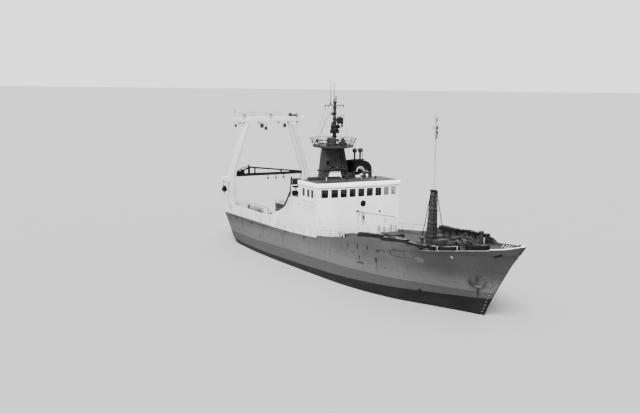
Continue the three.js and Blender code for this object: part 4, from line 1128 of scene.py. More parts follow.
def make_bell():
    x, y = FRONT_X + 0.26, 0.15
    arm = [rod((FRONT_X - 0.02, -0.4, 6.05), (FRONT_X + 0.28, -0.36, 6.05), 0.035, None, 10, 0.008),
           tube([(x, -0.42, 6.07), (x, 0.22, 5.85)], 0.04, rings=2),
           rod((FRONT_X - 0.02, 0.18, 5.86), (FRONT_X + 0.28, 0.2, 5.86), 0.03, None, 10, 0.008),
           block((FRONT_X, -0.5, 5.96), (FRONT_X + 0.04, -0.3, 6.14), 0.012), post(x, y, 5.62, 5.88, 0.02)]
    settle(arm, "bell_arm", MACHINE)
    bell = turned([(0, 0.2), (0.04, 0.19), (0.07, 0.14), (0.09, 0.02), (0.12, -0.1), (0.16, -0.17),
                   (0.15, -0.18), (0.1, -0.1), (0, -0.08)], (x, y, 5.48), sides=24)
    clapper = turned([(0, 0.05), (0.03, 0.03), (0.035, 0), (0.02, -0.03), (0, -0.04)], (x, y, 5.28))
    settle([bell, clapper], "bell", DARK)
    lines = [tube([(x, y, 5.26), (FRONT_X + 0.24, 0.13, 4.9), (FRONT_X + 0.22, 0.1, 4.55)], 0.012),
             tube([(x, -0.36, 6.02), (FRONT_X + 0.1, -0.4, 5.5), (FRONT_X + 0.05, -0.38, 4.9)], 0.012)]
    settle(lines, "bell_lines", DARK_ROPE)


def make_front_fittings():
    make_bell()
    bend_x = FRONT_X - HOUSE_SWEEP * (4.1 - HOUSE_BEND)
    pipe = [tube([(FRONT_X + 0.03, 0.25, 5.9), (FRONT_X + 0.03, HOUSE_BEND, 5.5),
                  (bend_x + 0.03, 4.1, 5.2), (bend_x + 0.03, 4.1, 4.5)], 0.025)]
    for y in (0.8, 1.7, 2.4):
        z = 5.9 - (y - 0.25) * 0.174
        pipe.append(block((FRONT_X, y - 0.05, z - 0.04), (FRONT_X + 0.06, y + 0.05, z + 0.04), 0.01))
    settle(pipe, "wall_pipe", PALE)
    button = turned([(0, 0.09), (0.07, 0.08), (0.1, 0.05), (0.1, 0.02), (0.12, 0.0), (0, 0)],
                    (FRONT_X, 2.17, 5.9), (1, 0, 0), 20)
    settle(button, "wall_horn", MACHINE)


def goose_neck(x, y, low, high, radius=0.11):
    """A vent pipe that bends over to look at the deck."""
    reach = radius * 2.6
    points = [(x, y, low - 0.05), (x, y, high)]
    for step in range(1, 9):
        angle = math.pi * step / 8
        points.append((x + reach / 2 * (1 - math.cos(angle)), y, high + reach / 2 * math.sin(angle)))
    points.append((x + reach, y, high - radius))
    collar = turned([(0, 0), (radius * 1.7, 0), (radius * 1.7, 0.03), (radius, 0.06), (0, 0.06)], (x, y, low))
    lip = turned([(0, 0), (radius * 1.25, 0), (radius * 1.25, 0.07), (0, 0.07)],
                 (x + reach, y, high - radius - 0.03))
    return [tube(points, radius, rings=3), collar, lip]


def make_deck_vents():
    made = []
    for x, y, high in ((-0.8, 1.9, 4.35), (-0.75, 2.5, 4.25), (-0.9, 3.4, 4.4), (-0.85, 3.9, 4.3),
                       (-0.7, -2.6, 4.2)):
        made += goose_neck(x, y, deck(x, y), high)
    settle(made, "deck_vents", PALE)


make_deck_rails()
make_front_fittings()
make_deck_vents()


# Main mast

def leg_at(z, side):
    """The middle of a mast leg at a height, and its half-depth."""
    share = (z - BRIDGE_DECK) / (PLATFORM_Z - 0.3 - BRIDGE_DECK)
    return MAST_X + share * (PLATFORM_X - MAST_X), side * (1.5 - 0.78 * share), 0.475 + 0.15 * share


def make_platform_rail():
    edge, tall = PLATFORM_R, 0.7
    low, high = edge - 0.06, edge + 0.32
    made = [tube(circle((PLATFORM_X, 0, PLATFORM_Z + tall * share), low + (high - low) * share, 40),
                 0.034, closed=True, rings=2) for share in (1.0, 0.5)]
    made += [rod(foot, top, 0.03, None, 8) for foot, top in zip(
        circle((PLATFORM_X, 0, PLATFORM_Z), low, 15), circle((PLATFORM_X, 0, PLATFORM_Z + tall), high, 15))]
    made.append(turned([(edge - 0.03, -0.14), (edge + 0.02, -0.14), (edge + 0.02, 0.05), (edge - 0.03, 0.05),
                        (edge - 0.03, -0.14)], (PLATFORM_X, 0, PLATFORM_Z), sides=48))
    settle(made, "platform_rail", DARK)


def make_mast_lights():
    lamps = [((MAST_X, -1.5, 12.42), (1, -0.3, -0.35), 0.14), ((MAST_X, 1.1, 12.38), (1, 0.2, -0.35), 0.14),
             ((-7.9, 1.2, 12.42), (-1, 0.2, -0.6), 0.15), ((-7.9, -1.2, 12.42), (-1, -0.2, -0.6), 0.15)]
    settle_lamps(lamps, "mast_floodlights", "mast_floodlight_glass")
    y = 0.86
    lantern = [rod((MAST_X, 0.1, 14.5), (MAST_X, y, 14.5), 0.03, None, 8),
               post(MAST_X, y, 14.52, 14.3, 0.025),
               turned([(0, 0.5), (0.09, 0.47), (0.12, 0.4), (0.12, 0.34), (0.08, 0.33), (0.09, 0.1),
                       (0.12, 0.08), (0.1, 0), (0, 0)], (MAST_X, y, 13.85), sides=16)]
    settle(lantern, "hanging_lantern", DARK)


def make_mast_fittings():
    # The housing round the upper radar's pedestal, and a motor beside the gearbox
    made = casing((-5.66, -0.26, 14.28), (-5.14, 0.26, 14.84), 2)
    made += casing((MAST_X - 0.1, -0.5, 13.25), (MAST_X + 0.35, 0.36, 13.62), 2)
    made.append(rod((MAST_X + 0.12, -0.46, 13.9), (MAST_X + 0.12, 0.5, 13.9), 0.17, None, 16, 0.02))
    made.append(turned([(0, 0), (0.2, 0), (0.2, 0.08), (0.14, 0.2), (0, 0.24)], (MAST_X - 0.05, 0.24, 12.0)))
    # Trunking and pipes strapped to the pole, with a strap here and there
    made += [rod((MAST_X + 0.02, -0.13, 12.0), (MAST_X, -0.1, 16.3), 0.11, 0.07, 12, 0.01),
             rod((MAST_X + 0.02, 0.12, 12.0), (MAST_X, 0.1, 15.4), 0.08, 0.06, 12, 0.01)]
    strap = [(0, 0), (0.24, 0.01), (0.24, 0.09), (0, 0.1)]
    made += flanges([(z, strap) for z in (12.9, 14.0, 14.6, 15.2, 15.8, 16.3)], MAST_X, 0, sides=16)
    # Steps up the pole
    for z in [12.35 + 0.3 * place for place in range(12)]:
        step = [(MAST_X - 0.1, -0.12, z), (MAST_X - 0.12, -0.34, z), (MAST_X - 0.2, -0.34, z + 0.03)]
        made.append(tube(step, 0.018))
    # Isolators under the yard, and the collars of the whip aerials
    isolator = [(0, 0), (0.035, 0), (0.05, -0.06), (0.03, -0.09), (0.05, -0.13), (0.03, -0.17), (0, -0.18)]
    made += [turned(isolator, (MAST_X, y, 16.01), sides=10) for y in (-1.1, -0.75, 0.6, 1.0)]
    collar = [(0, 0), (0.07, 0.02), (0.07, 0.3), (0.045, 0.36), (0, 0.4)]
    made += [turned(collar, (MAST_X, y, z), sides=12) for y, z in ((-0.5, 16.02), (-0.1, 16.32))]
    # Boxes on the legs and a cable down the port one
    for z, side in ((8.3, STARBOARD), (9.1, PORT), (10.2, STARBOARD)):
        x, y, deep = leg_at(z, side)
        made.append(block((x + deep - 0.02, y - 0.14, z), (x + deep + 0.12, y + 0.14, z + 0.34)))
    cable = []
    for z in (7.2, 8.2, 9.4, 10.6, 11.6):
        x, y, deep = leg_at(z, PORT)
        cable.append((x + deep + 0.03, y - 0.08, z))
    made.append(tube(cable, 0.03, rings=2))
    settle(made, "mast_fittings", BLACK)
    rungs = ladder((leg_at(7.3, STARBOARD)[0] - 0.62, -1.46, 7.2),
                   (leg_at(11.6, STARBOARD)[0] - 0.74, -0.75, 11.75), (0, 1, 0), 0.42)
    settle(rungs, "mast_ladder", MACHINE)


def make_mast_lines():
    made = [tube([(MAST_X, y, 15.85), (MAST_X - 0.6, foot, PLATFORM_Z + 0.7)], 0.014)
            for y, foot in ((-1.1, -1.9), (-0.75, -1.3), (0.6, 1.2), (1.0, 1.9))]
    # The stay under the platform, and two that steady the pole
    made.append(tube([(MAST_X + 0.3, 1.25, 10.35), (MAST_X + 0.3, 0.25, 9.7)], 0.03))
    made += [tube([(MAST_X - 0.1, side * 0.1, 15.9), (-8.45, side * 1.2, PLATFORM_Z + 0.04)], 0.02)
             for side, _ in SIDES]
    settle(made, "mast_lines", DARK_ROPE)
    # The dark lump in the crutch of the legs, under the web
    settle(mound((-6.75, -0.66, 9.46), (-6.1, 0.6, 9.95), 1.3, 0.7), "flag_bag", NET)


make_platform_rail()
make_mast_lights()
make_mast_fittings()
make_mast_lines()
for radar in ("radar_upper", "radar_lower"):
    reworked(radar + "_scanner", PALE, 0.02, radar, slot="dark_paint")


# Funnel and what stands round it

def make_funnel():
    x = FUNNEL_X
    y0, y1, top, shoulder, bend = 1.95, 3.95, 10.45, 9.5, 0.9

    def arch(inset):
        points = [(y0 + inset, BRIDGE_DECK + 0.1), (y1 - inset, BRIDGE_DECK + 0.1)]
        for step in range(7):
            angle = step / 6 * math.pi / 2
            points.append((y1 - bend + (bend - inset) * math.cos(angle),
                           shoulder + (top - inset - shoulder) * math.sin(angle)))
        return points + [(y0 + inset, top - inset)]

    band = [tube([(at, y, z) for y, z in arch(0.05)], 0.05, closed=True, rings=2) for at in (x + 0.02, -7.17)]
    band.append(tube([(x + 0.02, y, z) for y, z in arch(0.34)[2:]], 0.045, rings=2))
    band.append(block((x - 0.1, 1.5, 10.44), (x + 0.06, 2.9, 10.62)))
    settle(band, "funnel_bands", BLACK)
    pale = [(x + 0.05, 2.55 - 0.42 * math.cos(angle), 9.38 + 0.44 * math.sin(angle))
            for angle in [step / 10 * math.pi for step in range(11)]]
    settle(tube(pale, 0.06, rings=2), "funnel_arch", PALE)
    louvres = []
    for z in [7.75 + 0.16 * place for place in range(9)]:
        louvres.append(plate([(2.3, z), (3.6, z), (3.6, z + 0.03), (2.3, z + 0.03)], 0.12, upright(x + 0.05)))
    frame_corners = ((2.25, 7.65), (3.65, 7.65), (3.65, 9.15), (2.25, 9.15))
    louvres.append(tube([(x + 0.05, y, z) for y, z in frame_corners], 0.035, closed=True))
    aft = [twin for piece in louvres for twin in copies(piece, [shift(-1.62)])]
    settle(louvres + aft, "funnel_louvres", DARK)
    pipes_x, caps = -6.375, []
    for y in (2.35, 3.0):
        caps.append(post(pipes_x, y, 11.6, 11.69, 0.05, 0.03, 10, 0.01))
        caps += flanges([(10.47, [(0.1, 0), (0.17, 0.02), (0.17, 0.08), (0.1, 0.1), (0.1, 0)]),
                         (10.95, [(0.1, 0), (0.14, 0.01), (0.14, 0.05), (0.1, 0.06), (0.1, 0)])], pipes_x, y)
    caps.append(post(pipes_x, 3.3, 10.3, 11.66, 0.035, None, 10))
    caps.append(block((-6.75, 1.95, 10.44), (-6.0, 3.35, 10.54)))
    settle(caps, "exhaust_collars", MACHINE)
    settle(rod((x + 0.05, 2.25, 9.79), (x + 0.05, 3.96, 9.09), 0.035, None, 8), "funnel_rail", PALE)


def make_roof_clutter():
    """What shows over the wheelhouse roof: lockers, vents, a searchlight, aerial feet."""
    top, foot = ROOF_TOP, ROOF_TOP - 0.03
    dark = []
    for x0, y0, x1, y1, tall in ((-4.95, -3.9, -4.3, -2.4, 0.2), (-5.0, -2.1, -4.6, -0.3, 0.14),
                                 (-5.1, 0.6, -4.7, 1.25, 0.42), (-5.1, 2.35, -4.75, 2.75, 0.5)):
        dark += casing((x0, y0, foot), (x1, y1, top + tall), 3)
    for x, y, tall in ((-4.9, 1.5, 0.62), (-4.9, 3.35, 0.5), (-4.8, 0.2, 0.3)):
        dark.append(turned([(0, 0), (0.1, 0), (0.1, tall - 0.16), (0.22, tall - 0.12), (0.24, tall - 0.04),
                            (0.12, tall), (0, tall)], (x, y, top - 0.02)))
    white = [block((-5.1, y0, foot), (x1, y1, top + tall), 0.04) for y0, x1, y1, tall in (
        (1.62, -4.85, 2.15, 0.16), (2.9, -4.9, 3.1, 0.24), (3.6, -4.9, 3.8, 0.22))]
    settle(dark, "roof_boxes_and_vents", DARK)
    settle(white, "roof_lockers", CLEAN_WHITE)
    lamps = [((-1.75, -1.2, top + 0.36), (1, -0.1, -0.1), 0.17),
             ((-1.75, 2.0, top + 0.3), (1, 0.1, -0.15), 0.12)]
    settle_lamps(lamps, "searchlights", "searchlight_glass", MACHINE, DARK_GLASS)
    feet = [post(-2.6, 0.9, top - 0.05, top + 0.45, 0.035, None, 10),
            turned([(0, 0), (0.16, 0.02), (0.19, 0.09), (0.12, 0.17), (0, 0.19)], (-2.6, 0.9, top + 0.42)),
            post(-3.4, -2.6, top - 0.05, top + 0.3, 0.05, None, 10)]
    settle(feet, "roof_aerials", PALE)


make_funnel()
make_roof_clutter()


# Gantry

def make_gantry_fittings():
    x = GANTRY_X
    rail = guard_rail([(x + 0.25, y, BEAM_TOP) for y in (-3.85, 1.32)], 0.53, 0.86, (1.0, 0.5), 0.04)
    rail.append(post(x, -4.18, BEAM_TOP - 0.02, 14.9, 0.07, 0.06, 12, 0.01))
    rail.append(turned([(0, 0), (0.12, 0.02), (0.13, 0.16), (0.08, 0.22), (0, 0.23)], (x, -4.18, 14.84)))
    settle(rail, "gantry_rail", PALE)
    # Blocks under the beam, boxes and lamps on it
    dark = []
    for y, low, high in ((-0.88, 12.89, 13.34), (-0.38, 12.65, 12.99), (-4.13, 13.05, 13.3),
                         (2.0, 12.9, 13.3)):
        middle, half = (low + high) / 2, (high - low) / 2
        groove = half * 0.82
        sheave = [(0, -0.07), (half, -0.07), (half, -0.05), (groove, -0.02), (groove, 0.02),
                  (half, 0.05), (half, 0.07), (0, 0.07)]
        dark.append(turned(sheave, (x, y, middle), (1, 0, 0), 22))
        dark.append(post(x, y, high - 0.05, BEAM_LOW - 0.16, 0.035))
        dark += [block((at - 0.015, y - half * 0.7, middle - half * 0.6),
                       (at + 0.015, y + half * 0.7, high + 0.06), 0.01) for at in (x - 0.1, x + 0.1)]
    dark += casing((x - 0.2, 2.53, 14.1), (x + 0.25, 2.85, 14.5), 2)
    dark += casing((x - 0.15, 3.05, 14.1), (x + 0.2, 3.58, 14.36), 2)
    for y in (3.3, -3.3, 0.0):
        metal, glass = floodlight((x + 0.45, y, 14.4), (1, 0, -0.7), 0.15)
        dark += metal
        settle(glass, f"gantry_lamp_glass_{round(y) + 4}", LAMP_GLASS)
    settle(dark, "gantry_blocks", DARK)
    # Ticks, feet and a heavy end on the cross frame
    truss = [block((x - 0.08, y - 0.07, 7.7), (x + 0.08, y + 0.07, top), 0.015)
             for y, top in ((-2.54, 8.8), (1.56, 8.17), (2.77, 7.99), (3.68, 7.96))]
    for y, low in ((-0.1, 7.06), (0.92, 7.06), (1.91, 7.09)):
        truss.append(post(x, y, 7.66, low + 0.16, 0.045, None, 10))
        truss.append(turned([(0, 0), (0.1, 0.01), (0.12, 0.08), (0.1, 0.2), (0, 0.22)], (x, y, low)))
    truss += [tube([(x + 0.16, -4.1, 7.62), (x + 0.16, 4.1, 7.66)], 0.1, rings=2),
              tube([(x + 0.1, -2.45, 8.53), (x + 0.1, 4.1, 7.82)], 0.09, rings=2),
              block((x - 0.12, -4.2, 7.75), (x + 0.2, -3.55, 8.15), 0.03),
              block((x - 0.1, -3.5, 7.8), (x + 0.18, -3.1, 8.3), 0.03),
              tube([(x + 0.15, -4.1, 8.1), (x + 0.15, -3.3, 8.5), (x + 0.15, -2.5, 8.62)], 0.05)]
    settle(truss, "cross_frame_fittings", BLACK)
    # Grey pipes up both legs and a ladder up the port one
    steps = [tube([(x + 0.34, side * 4.35, 3.6), (x + 0.34, side * 4.42, 8.0), (x + 0.34, side * 2.62, 13.5)],
                  0.05, rings=2) for side, _ in SIDES]
    steps += ladder((x + 0.42, 4.72, 3.7), (x + 0.42, 4.72, 7.9), (0, 1, 0))
    steps += ladder((x + 0.42, 4.6, 8.0), (x + 0.42, 2.95, 13.4), (0, 1, 0.3))
    settle(steps, "gantry_ladder", PALE)


def make_hanging_blocks():
    for side, word in SIDES:
        x, y = GANTRY_X, side * 5.5
        cheek = [(y + way, z) for way, z in (
            (-0.2, 6.0), (0.2, 6.0), (0.13, 6.52), (0.07, 6.6), (-0.07, 6.6), (-0.13, 6.52))]
        made = [rod((x - 0.15, y, 6.16), (x + 0.15, y, 6.16), 0.07, None, 14, 0.01)]
        made += [plate(cheek, 0.02, upright(x + way * 0.135), 0.004) for way in (-1, 1)]
        # The strop below, with its shackle
        made.append(tube(upright_oval((x, y, 5.79), 0.07, 0.1, 12), 0.025, closed=True))
        made.append(post(x, y, 5.74, 5.62, 0.05, 0.04, 10, 0.01))
        settle(made, f"block_fittings_{word}", BLACK, f"block_{word}")


make_gantry_fittings()
make_hanging_blocks()


# Trawl deck: nets, wires and what drives them

def make_nets():
    heaps = [mound((x, y, TRAWL_DECK), high, seed) for x, y, high, seed in (
        (-20.6, 1.9, (-16.9, 4.4, 4.75), 0.4), (-16.2, 1.4, (-11.9, 4.4, 4.6), 1.9),
        (-20.4, -4.3, (-17.2, -2.1, 4.3), 2.8), (-13.0, -1.0, (-11.2, 1.2, 4.1), 3.3),
        (-15.8, -4.4, (-12.4, -1.4, 4.2), 4.4))]
    settle(heaps, "trawl_nets", NET)
    ropes = [coil((-18.2, -3.2, 4.1), 0.5, 0.04, 6), coil((-12.9, -2.9, 3.95), 0.45, 0.035, 5),
             coil((-12.6, 2.6, 4.3), 0.55, 0.045, 6), coil((-19.1, 3.1, 4.62), 0.42, 0.04, 5)]
    settle(ropes, "deck_rope_coils", ROPE)
    ball = [(0.16 * math.sin(angle), -0.16 * math.cos(angle))
            for angle in [math.pi * place / 10 for place in range(11)]]
    moves = [shift(-20.2 + 0.52 * place, 3.1 + 0.9 * math.sin(place * 2.4),
                   4.5 + 0.12 * math.sin(place * 1.3)) for place in range(16)]
    settle(spread(turned(ball, (0, 0, 0), sides=18), moves), "net_floats", PALE)
    profile = [(0.06, -0.14), (0.2, -0.12), (0.24, 0), (0.2, 0.12), (0.06, 0.14), (0.06, -0.14)]
    bobbins = [turned(profile, (-17.1 + 0.44 * place, -1.75 + 0.12 * math.sin(place * 2), 3.66),
                      (1, 0.3 * math.sin(place), 0), 18) for place in range(9)]
    settle(bobbins, "net_bobbins", BLACK)


def wound_wire(y0, y1, core, outer, pitch=0.05):
    """A profile of wire laid side by side over a drum, each turn a little off the last."""
    profile = [(core, y0)]
    count = int((y1 - y0) / pitch)
    for place in range(count):
        y = y0 + (y1 - y0) * (place + 0.5) / count
        full = outer - 0.05 * abs(math.sin(place * 0.31))
        low, half = full - pitch * 0.45, pitch * 0.48
        profile += [(low, y - half), (full, y), (low, y + half)]
    return profile + [(core, y1), (core, y0)]


def make_winches():
    x, z = -10.0, 4.45
    hoop = [(0.7, -0.03), (0.79, -0.03), (0.79, 0.03), (0.7, 0.03), (0.7, -0.03)]
    for side, word in SIDES:
        body = f"winch_{word}"
        wire = [(radius, side * along) for radius, along in wound_wire(0.26, 1.76, 0.33, 0.57)]
        settle(turned(wire, (x, 0, z), (0, 1, 0), 36), f"winch_wire_{word}", STEEL, body)
        rings = [turned(hoop, (x, side * y, z), (0, 1, 0), 40) for y in (0.2, 1.82)]
        for angle in [math.pi / 4 * place for place in range(8)]:
            u, v = math.cos(angle), math.sin(angle)
            rings.append(tube([(x + r * u, side * 1.88, z + r * v) for r in (0.36, 0.72)], 0.03))
        settle(rings, f"winch_rings_{word}", MACHINE, body)
    motor = casing((-9.05, -0.5, 3.42), (-8.35, 0.5, 4.3), 4)
    motor.append(rod((-8.7, 0.4, 4.5), (-8.7, 1.35, 4.5), 0.26, None, 24, 0.03))
    motor.append(block((-8.95, 0.5, 3.42), (-8.45, 1.3, 4.3), 0.03))
    fin = [(0.2, 0), (0.3, 0.01), (0.3, 0.04), (0.2, 0.05), (0.2, 0)]
    motor += [turned(fin, (-8.7, 0.55 + 0.14 * place, 4.5), (0, 1, 0), 24) for place in range(5)]
    # Brake posts with their levers, and pipes along the deck
    for side, _ in SIDES:
        motor.append(turned([(0, 0), (0.14, 0.02), (0.14, 0.24), (0.05, 0.3), (0, 0.3)], (-10.85, side, 4.3)))
        motor.append(rod((-10.75, side, 4.5), (-11.05, side * 0.9, 5.0), 0.025, None, 8))
        pipe = [(-9.2, side * 2.05, 3.5), (-8.9, side * 2.3, 3.46), (-7.5, side * 2.3, 3.46)]
        motor.append(tube(pipe, 0.04))
    settle(motor, "winch_motor", MACHINE)
    # The rollers that lead the trawl wires aft
    leads, roller = [], [(0, -0.05), (0.22, -0.05), (0.17, 0), (0.22, 0.05), (0, 0.05)]
    for y in (PORT * 1.25, STARBOARD * 1.25):
        leads += [post(-11.4, y, 3.46, 3.95, 0.1, 0.08, 14, 0.01), turned(roller, (-11.4, y, 4.0))]
    settle(leads, "wire_guides", MACHINE)


def make_stern():
    made, stiff = [], []
    cap = [(0, 0), (0.2, 0), (0.2, 0.04), (0.12, 0.1), (0, 0.1)]
    for side, word in SIDES:
        made.append(post(-22.7, side * 1.86, 3.38, 3.95, 0.12, None, 16, 0.02))
        made.append(turned(cap, (-22.7, side * 1.86, 3.94)))
        made.append(tube([(x, side * 1.76, TRAWL_DECK) for x in (-17.7, -20.5, -23.0)], 0.07, rings=3))
        rail = ((-17.5, 3.41), (-17.5, 4.3), (-22.4, 4.3), (-22.4, 3.41))
        made.append(tube([(x, side * 1.95, z) for x, z in rail], 0.045, rings=2))
        for x in [-21.9 + 0.95 * place for place in range(11)]:
            face = abs(touch((f"aft_bulwark_{word}",), (x, side * 2.4, 3.9), (0, side, 0))[0].y) - 0.01
            shape = [(side * (face - inset), z) for inset, z in (
                (0, 4.3), (0, 3.41), (0.3, 3.41), (0.06, 4.3))]
            stiff.append(plate(shape, 0.03, upright(x)))
    settle(made, "slipway_rails", STEEL)
    settle(stiff, "aft_bulwark_brackets", DARK)


make_nets()
make_winches()
make_stern()


# After side of the house: davit, raft lashings, doors, ladders

DOOR_WIDTH = 0.72


def make_davit_and_raft():
    x = -7.32
    arm = ((-4.4, 8.9), (-4.45, 8.0), (-4.5, 7.5), (-4.94, 6.53), (-5.12, 6.2), (-5.28, 5.95))
    dark = [tube([(x, y, z) for y, z in arm], 0.09, rings=3), post(x, -4.42, 7.05, 8.95, 0.1, 0.08, 14, 0.01),
            block((-7.42, -4.6, 6.9), (-7.2, -4.3, 7.12))]
    dark += casing((-7.55, -4.2, 7.85), (-7.1, -3.4, 8.72), 3)
    dark.append(post(x, -3.9, 7.1, 8.0, 0.06, None, 10))
    dark += casing((-7.5, -4.55, 7.05), (-7.15, -3.45, 7.55), 3)
    settle(dark, "quarter_davit", BLACK)
    bands = [tube(upright_oval((at, -3.6, 7.57), 0.345, 0.345, 24), 0.02, closed=True)
             for at in (-6.6, -6.25, -5.9)]
    settle(bands, "raft_lashings", DARK)
    cradle = [block((at - 0.04, -3.95, 7.08), (at + 0.04, -3.25, 7.3), 0.01) for at in (-6.7, -5.8)]
    settle(cradle, "raft_cradle", PALE)


def make_house_fittings():
    steps = ladder((-7.42, 2.6, 3.5), (-7.42, 2.6, 8.1), (0, 1, 0), 0.45)
    for y in (2.375, 2.825):
        steps.append(tube([(-7.42, y, 7.9), (-7.42, y, 8.15), (-7.2, y, 8.15), (-7.1, y, 7.12)], 0.03))
    for y in (0.2, 3.9):
        steps.append(tube([(-7.3, y, 3.5), (-7.3, y, 6.9)], 0.05))
        steps += [block((-7.34, y - 0.08, z), (-7.24, y + 0.08, z + 0.06), 0.01) for z in (4.0, 5.0, 6.0)]
    settle(steps, "house_ladder", PALE)
    boxes = [piece for y in (-1.7, 3.7) for piece in casing((-7.36, y, 4.2), (-7.24, y + 0.35, 4.75), 2)]
    settle_lamps([((-7.4, y, 6.86), (-1, 0, -0.8), 0.13) for y in (-3.6, 0.9, 4.0)],
                 "deck_floodlights", "deck_floodlight_glass", extra=boxes)
    for side, word in SIDES:
        line = [(x, side * y, 7.05) for x, y in ((-7.1, 4.66), (-4.4, 4.72), (-1.7, 4.72))]
        trim = [tube(line, 0.035)]
        trim += [tube([(x, side * 4.74, 6.6), (x - 0.3, side * 4.76, 6.6)], 0.03)
                 for x in (-2.2, -3.6, -5.0, -6.4)]
        settle(trim, f"side_trim_{word}", WHITE)


def door_details(name, x, hinge_y, low, high):
    """Hinges, clips, a handle and a round light for a door that faces aft."""
    middle = hinge_y + DOOR_WIDTH / 2
    made = [block((x - 0.012, hinge_y + 0.04, z - 0.04), (x + 0.01, hinge_y + 0.3, z + 0.04), 0.004)
            for z in (low + 0.3, high - 0.3)]
    clip, grip = hinge_y + DOOR_WIDTH - 0.16, middle + DOOR_WIDTH * 0.2
    made += [tube([(x + 0.01, clip, z), (x - 0.015, clip, z), (x - 0.015, clip + 0.1, z - 0.07)], 0.014)
             for z in (low + 0.25, (low + high) / 2, high - 0.25)]
    handle = ((0.01, 0.95), (-0.02, 0.95), (-0.02, 1.14), (0.01, 1.14))
    made.append(tube([(x + out, grip, low + rise) for out, rise in handle], 0.012))
    place = (x, middle, high - 0.42)
    ring = [(0.11, -0.01), (0.16, -0.01), (0.16, 0.01), (0.11, 0.02), (0.11, -0.01)]
    made.append(turned(ring, place, (-1, 0, 0), 24))
    settle(made, name + "_fittings", MACHINE, name)
    glass = turned([(0, 0), (0.11, 0.0), (0.11, 0.008), (0, 0.016)], place, (-1, 0, 0), 24)
    settle(glass, name + "_light", DARK_GLASS, name)


make_davit_and_raft()
make_house_fittings()
door_details("house_door", -7.35, -2.4, 3.75, 5.6)
door_details("wheelhouse_door", -5.35, -2.9, 7.22, 8.32)


# Foremast, light pole and foredeck

def make_foremast_fittings():
    dark = []
    for z, half, x0, x1 in ((5.3, 0.31, 10.22, 11.3), (6.5, 0.27, 10.34, 11.28), (7.7, 0.24, 10.46, 11.26),
                            (8.9, 0.2, 10.6, 11.24)):
        dark.append(tube([(x0, -half, z), (x1, -half, z), (x1, half, z), (x0, half, z)], 0.03, closed=True))
    dark += ladder((11.36, 0.0, 4.75), (11.28, 0.0, 9.3), (0, 1, 0), 0.36, 0.28)
    dark += casing((10.62, -0.2, 9.3), (11.28, 0.2, 9.44), 2)
    dark.append(tube([(10.22, -0.2, 4.6), (10.2, -0.2, 5.9), (10.2, -0.05, 6.05), (10.2, 0.05, 6.05),
                      (10.2, 0.2, 5.9), (10.22, 0.2, 4.6)], 0.03))
    # Cleats near the foot
    dark += [tube([(11.22, -0.2, z), (11.38, -0.26, z)], 0.03) for z in (5.0, 5.35)]
    settle(dark, "foremast_fittings", BLACK)
    stays = [tube([(11.0, side * 0.3, 9.31), (11.0, side * 1.23, 4.95)], 0.04) for side, _ in SIDES]
    settle(stays, "foremast_stays", BLACK)
    heights = (13.9, 14.3, 14.7, 15.4)
    pole = [tube([(11.02, -0.2, z), (11.02, 0.2, z)], 0.018)
            for z in [9.7 + 0.3 * place for place in range(19)]]
    pole += [block((11.0, -0.1, z - 0.03), (11.3, 0.1, z), 0.008) for z in heights]
    settle(pole, "light_pole_steps", PALE)
    lamp = [(0, 0), (0.1, 0.0), (0.11, 0.04), (0.08, 0.06), (0.08, 0.2), (0.11, 0.22), (0.06, 0.3), (0, 0.31)]
    settle(flanges([(z, lamp) for z in heights], 11.22, 0, sides=16), "light_pole_lanterns", DARK)


def chain(start, end, link=0.2, wire=0.03):
    """Links from one point to another, every second one turned a quarter."""
    start, end = Vector(start), Vector(end)
    count = max(2, round((end - start).length / (link * 0.72)))
    half, side = link / 2 - wire, link * 0.28
    ring = [(way * (half * 0.45 + side * math.cos(angle)), side * math.sin(angle), 0)
            for way in (1, -1) for angle in (-1.5, -0.75, 0, 0.75, 1.5)]
    aim = (end - start).to_track_quat("X", "Z").to_matrix().to_4x4()
    moves = []
    for place in range(count):
        at = start.lerp(end, (place + 0.5) / count)
        moves.append(Matrix.Translation(at) @ aim @ Matrix.Rotation(math.pi / 2 * (place % 2), 4, "X"))
    return spread(tube(ring, wire, closed=True), moves)


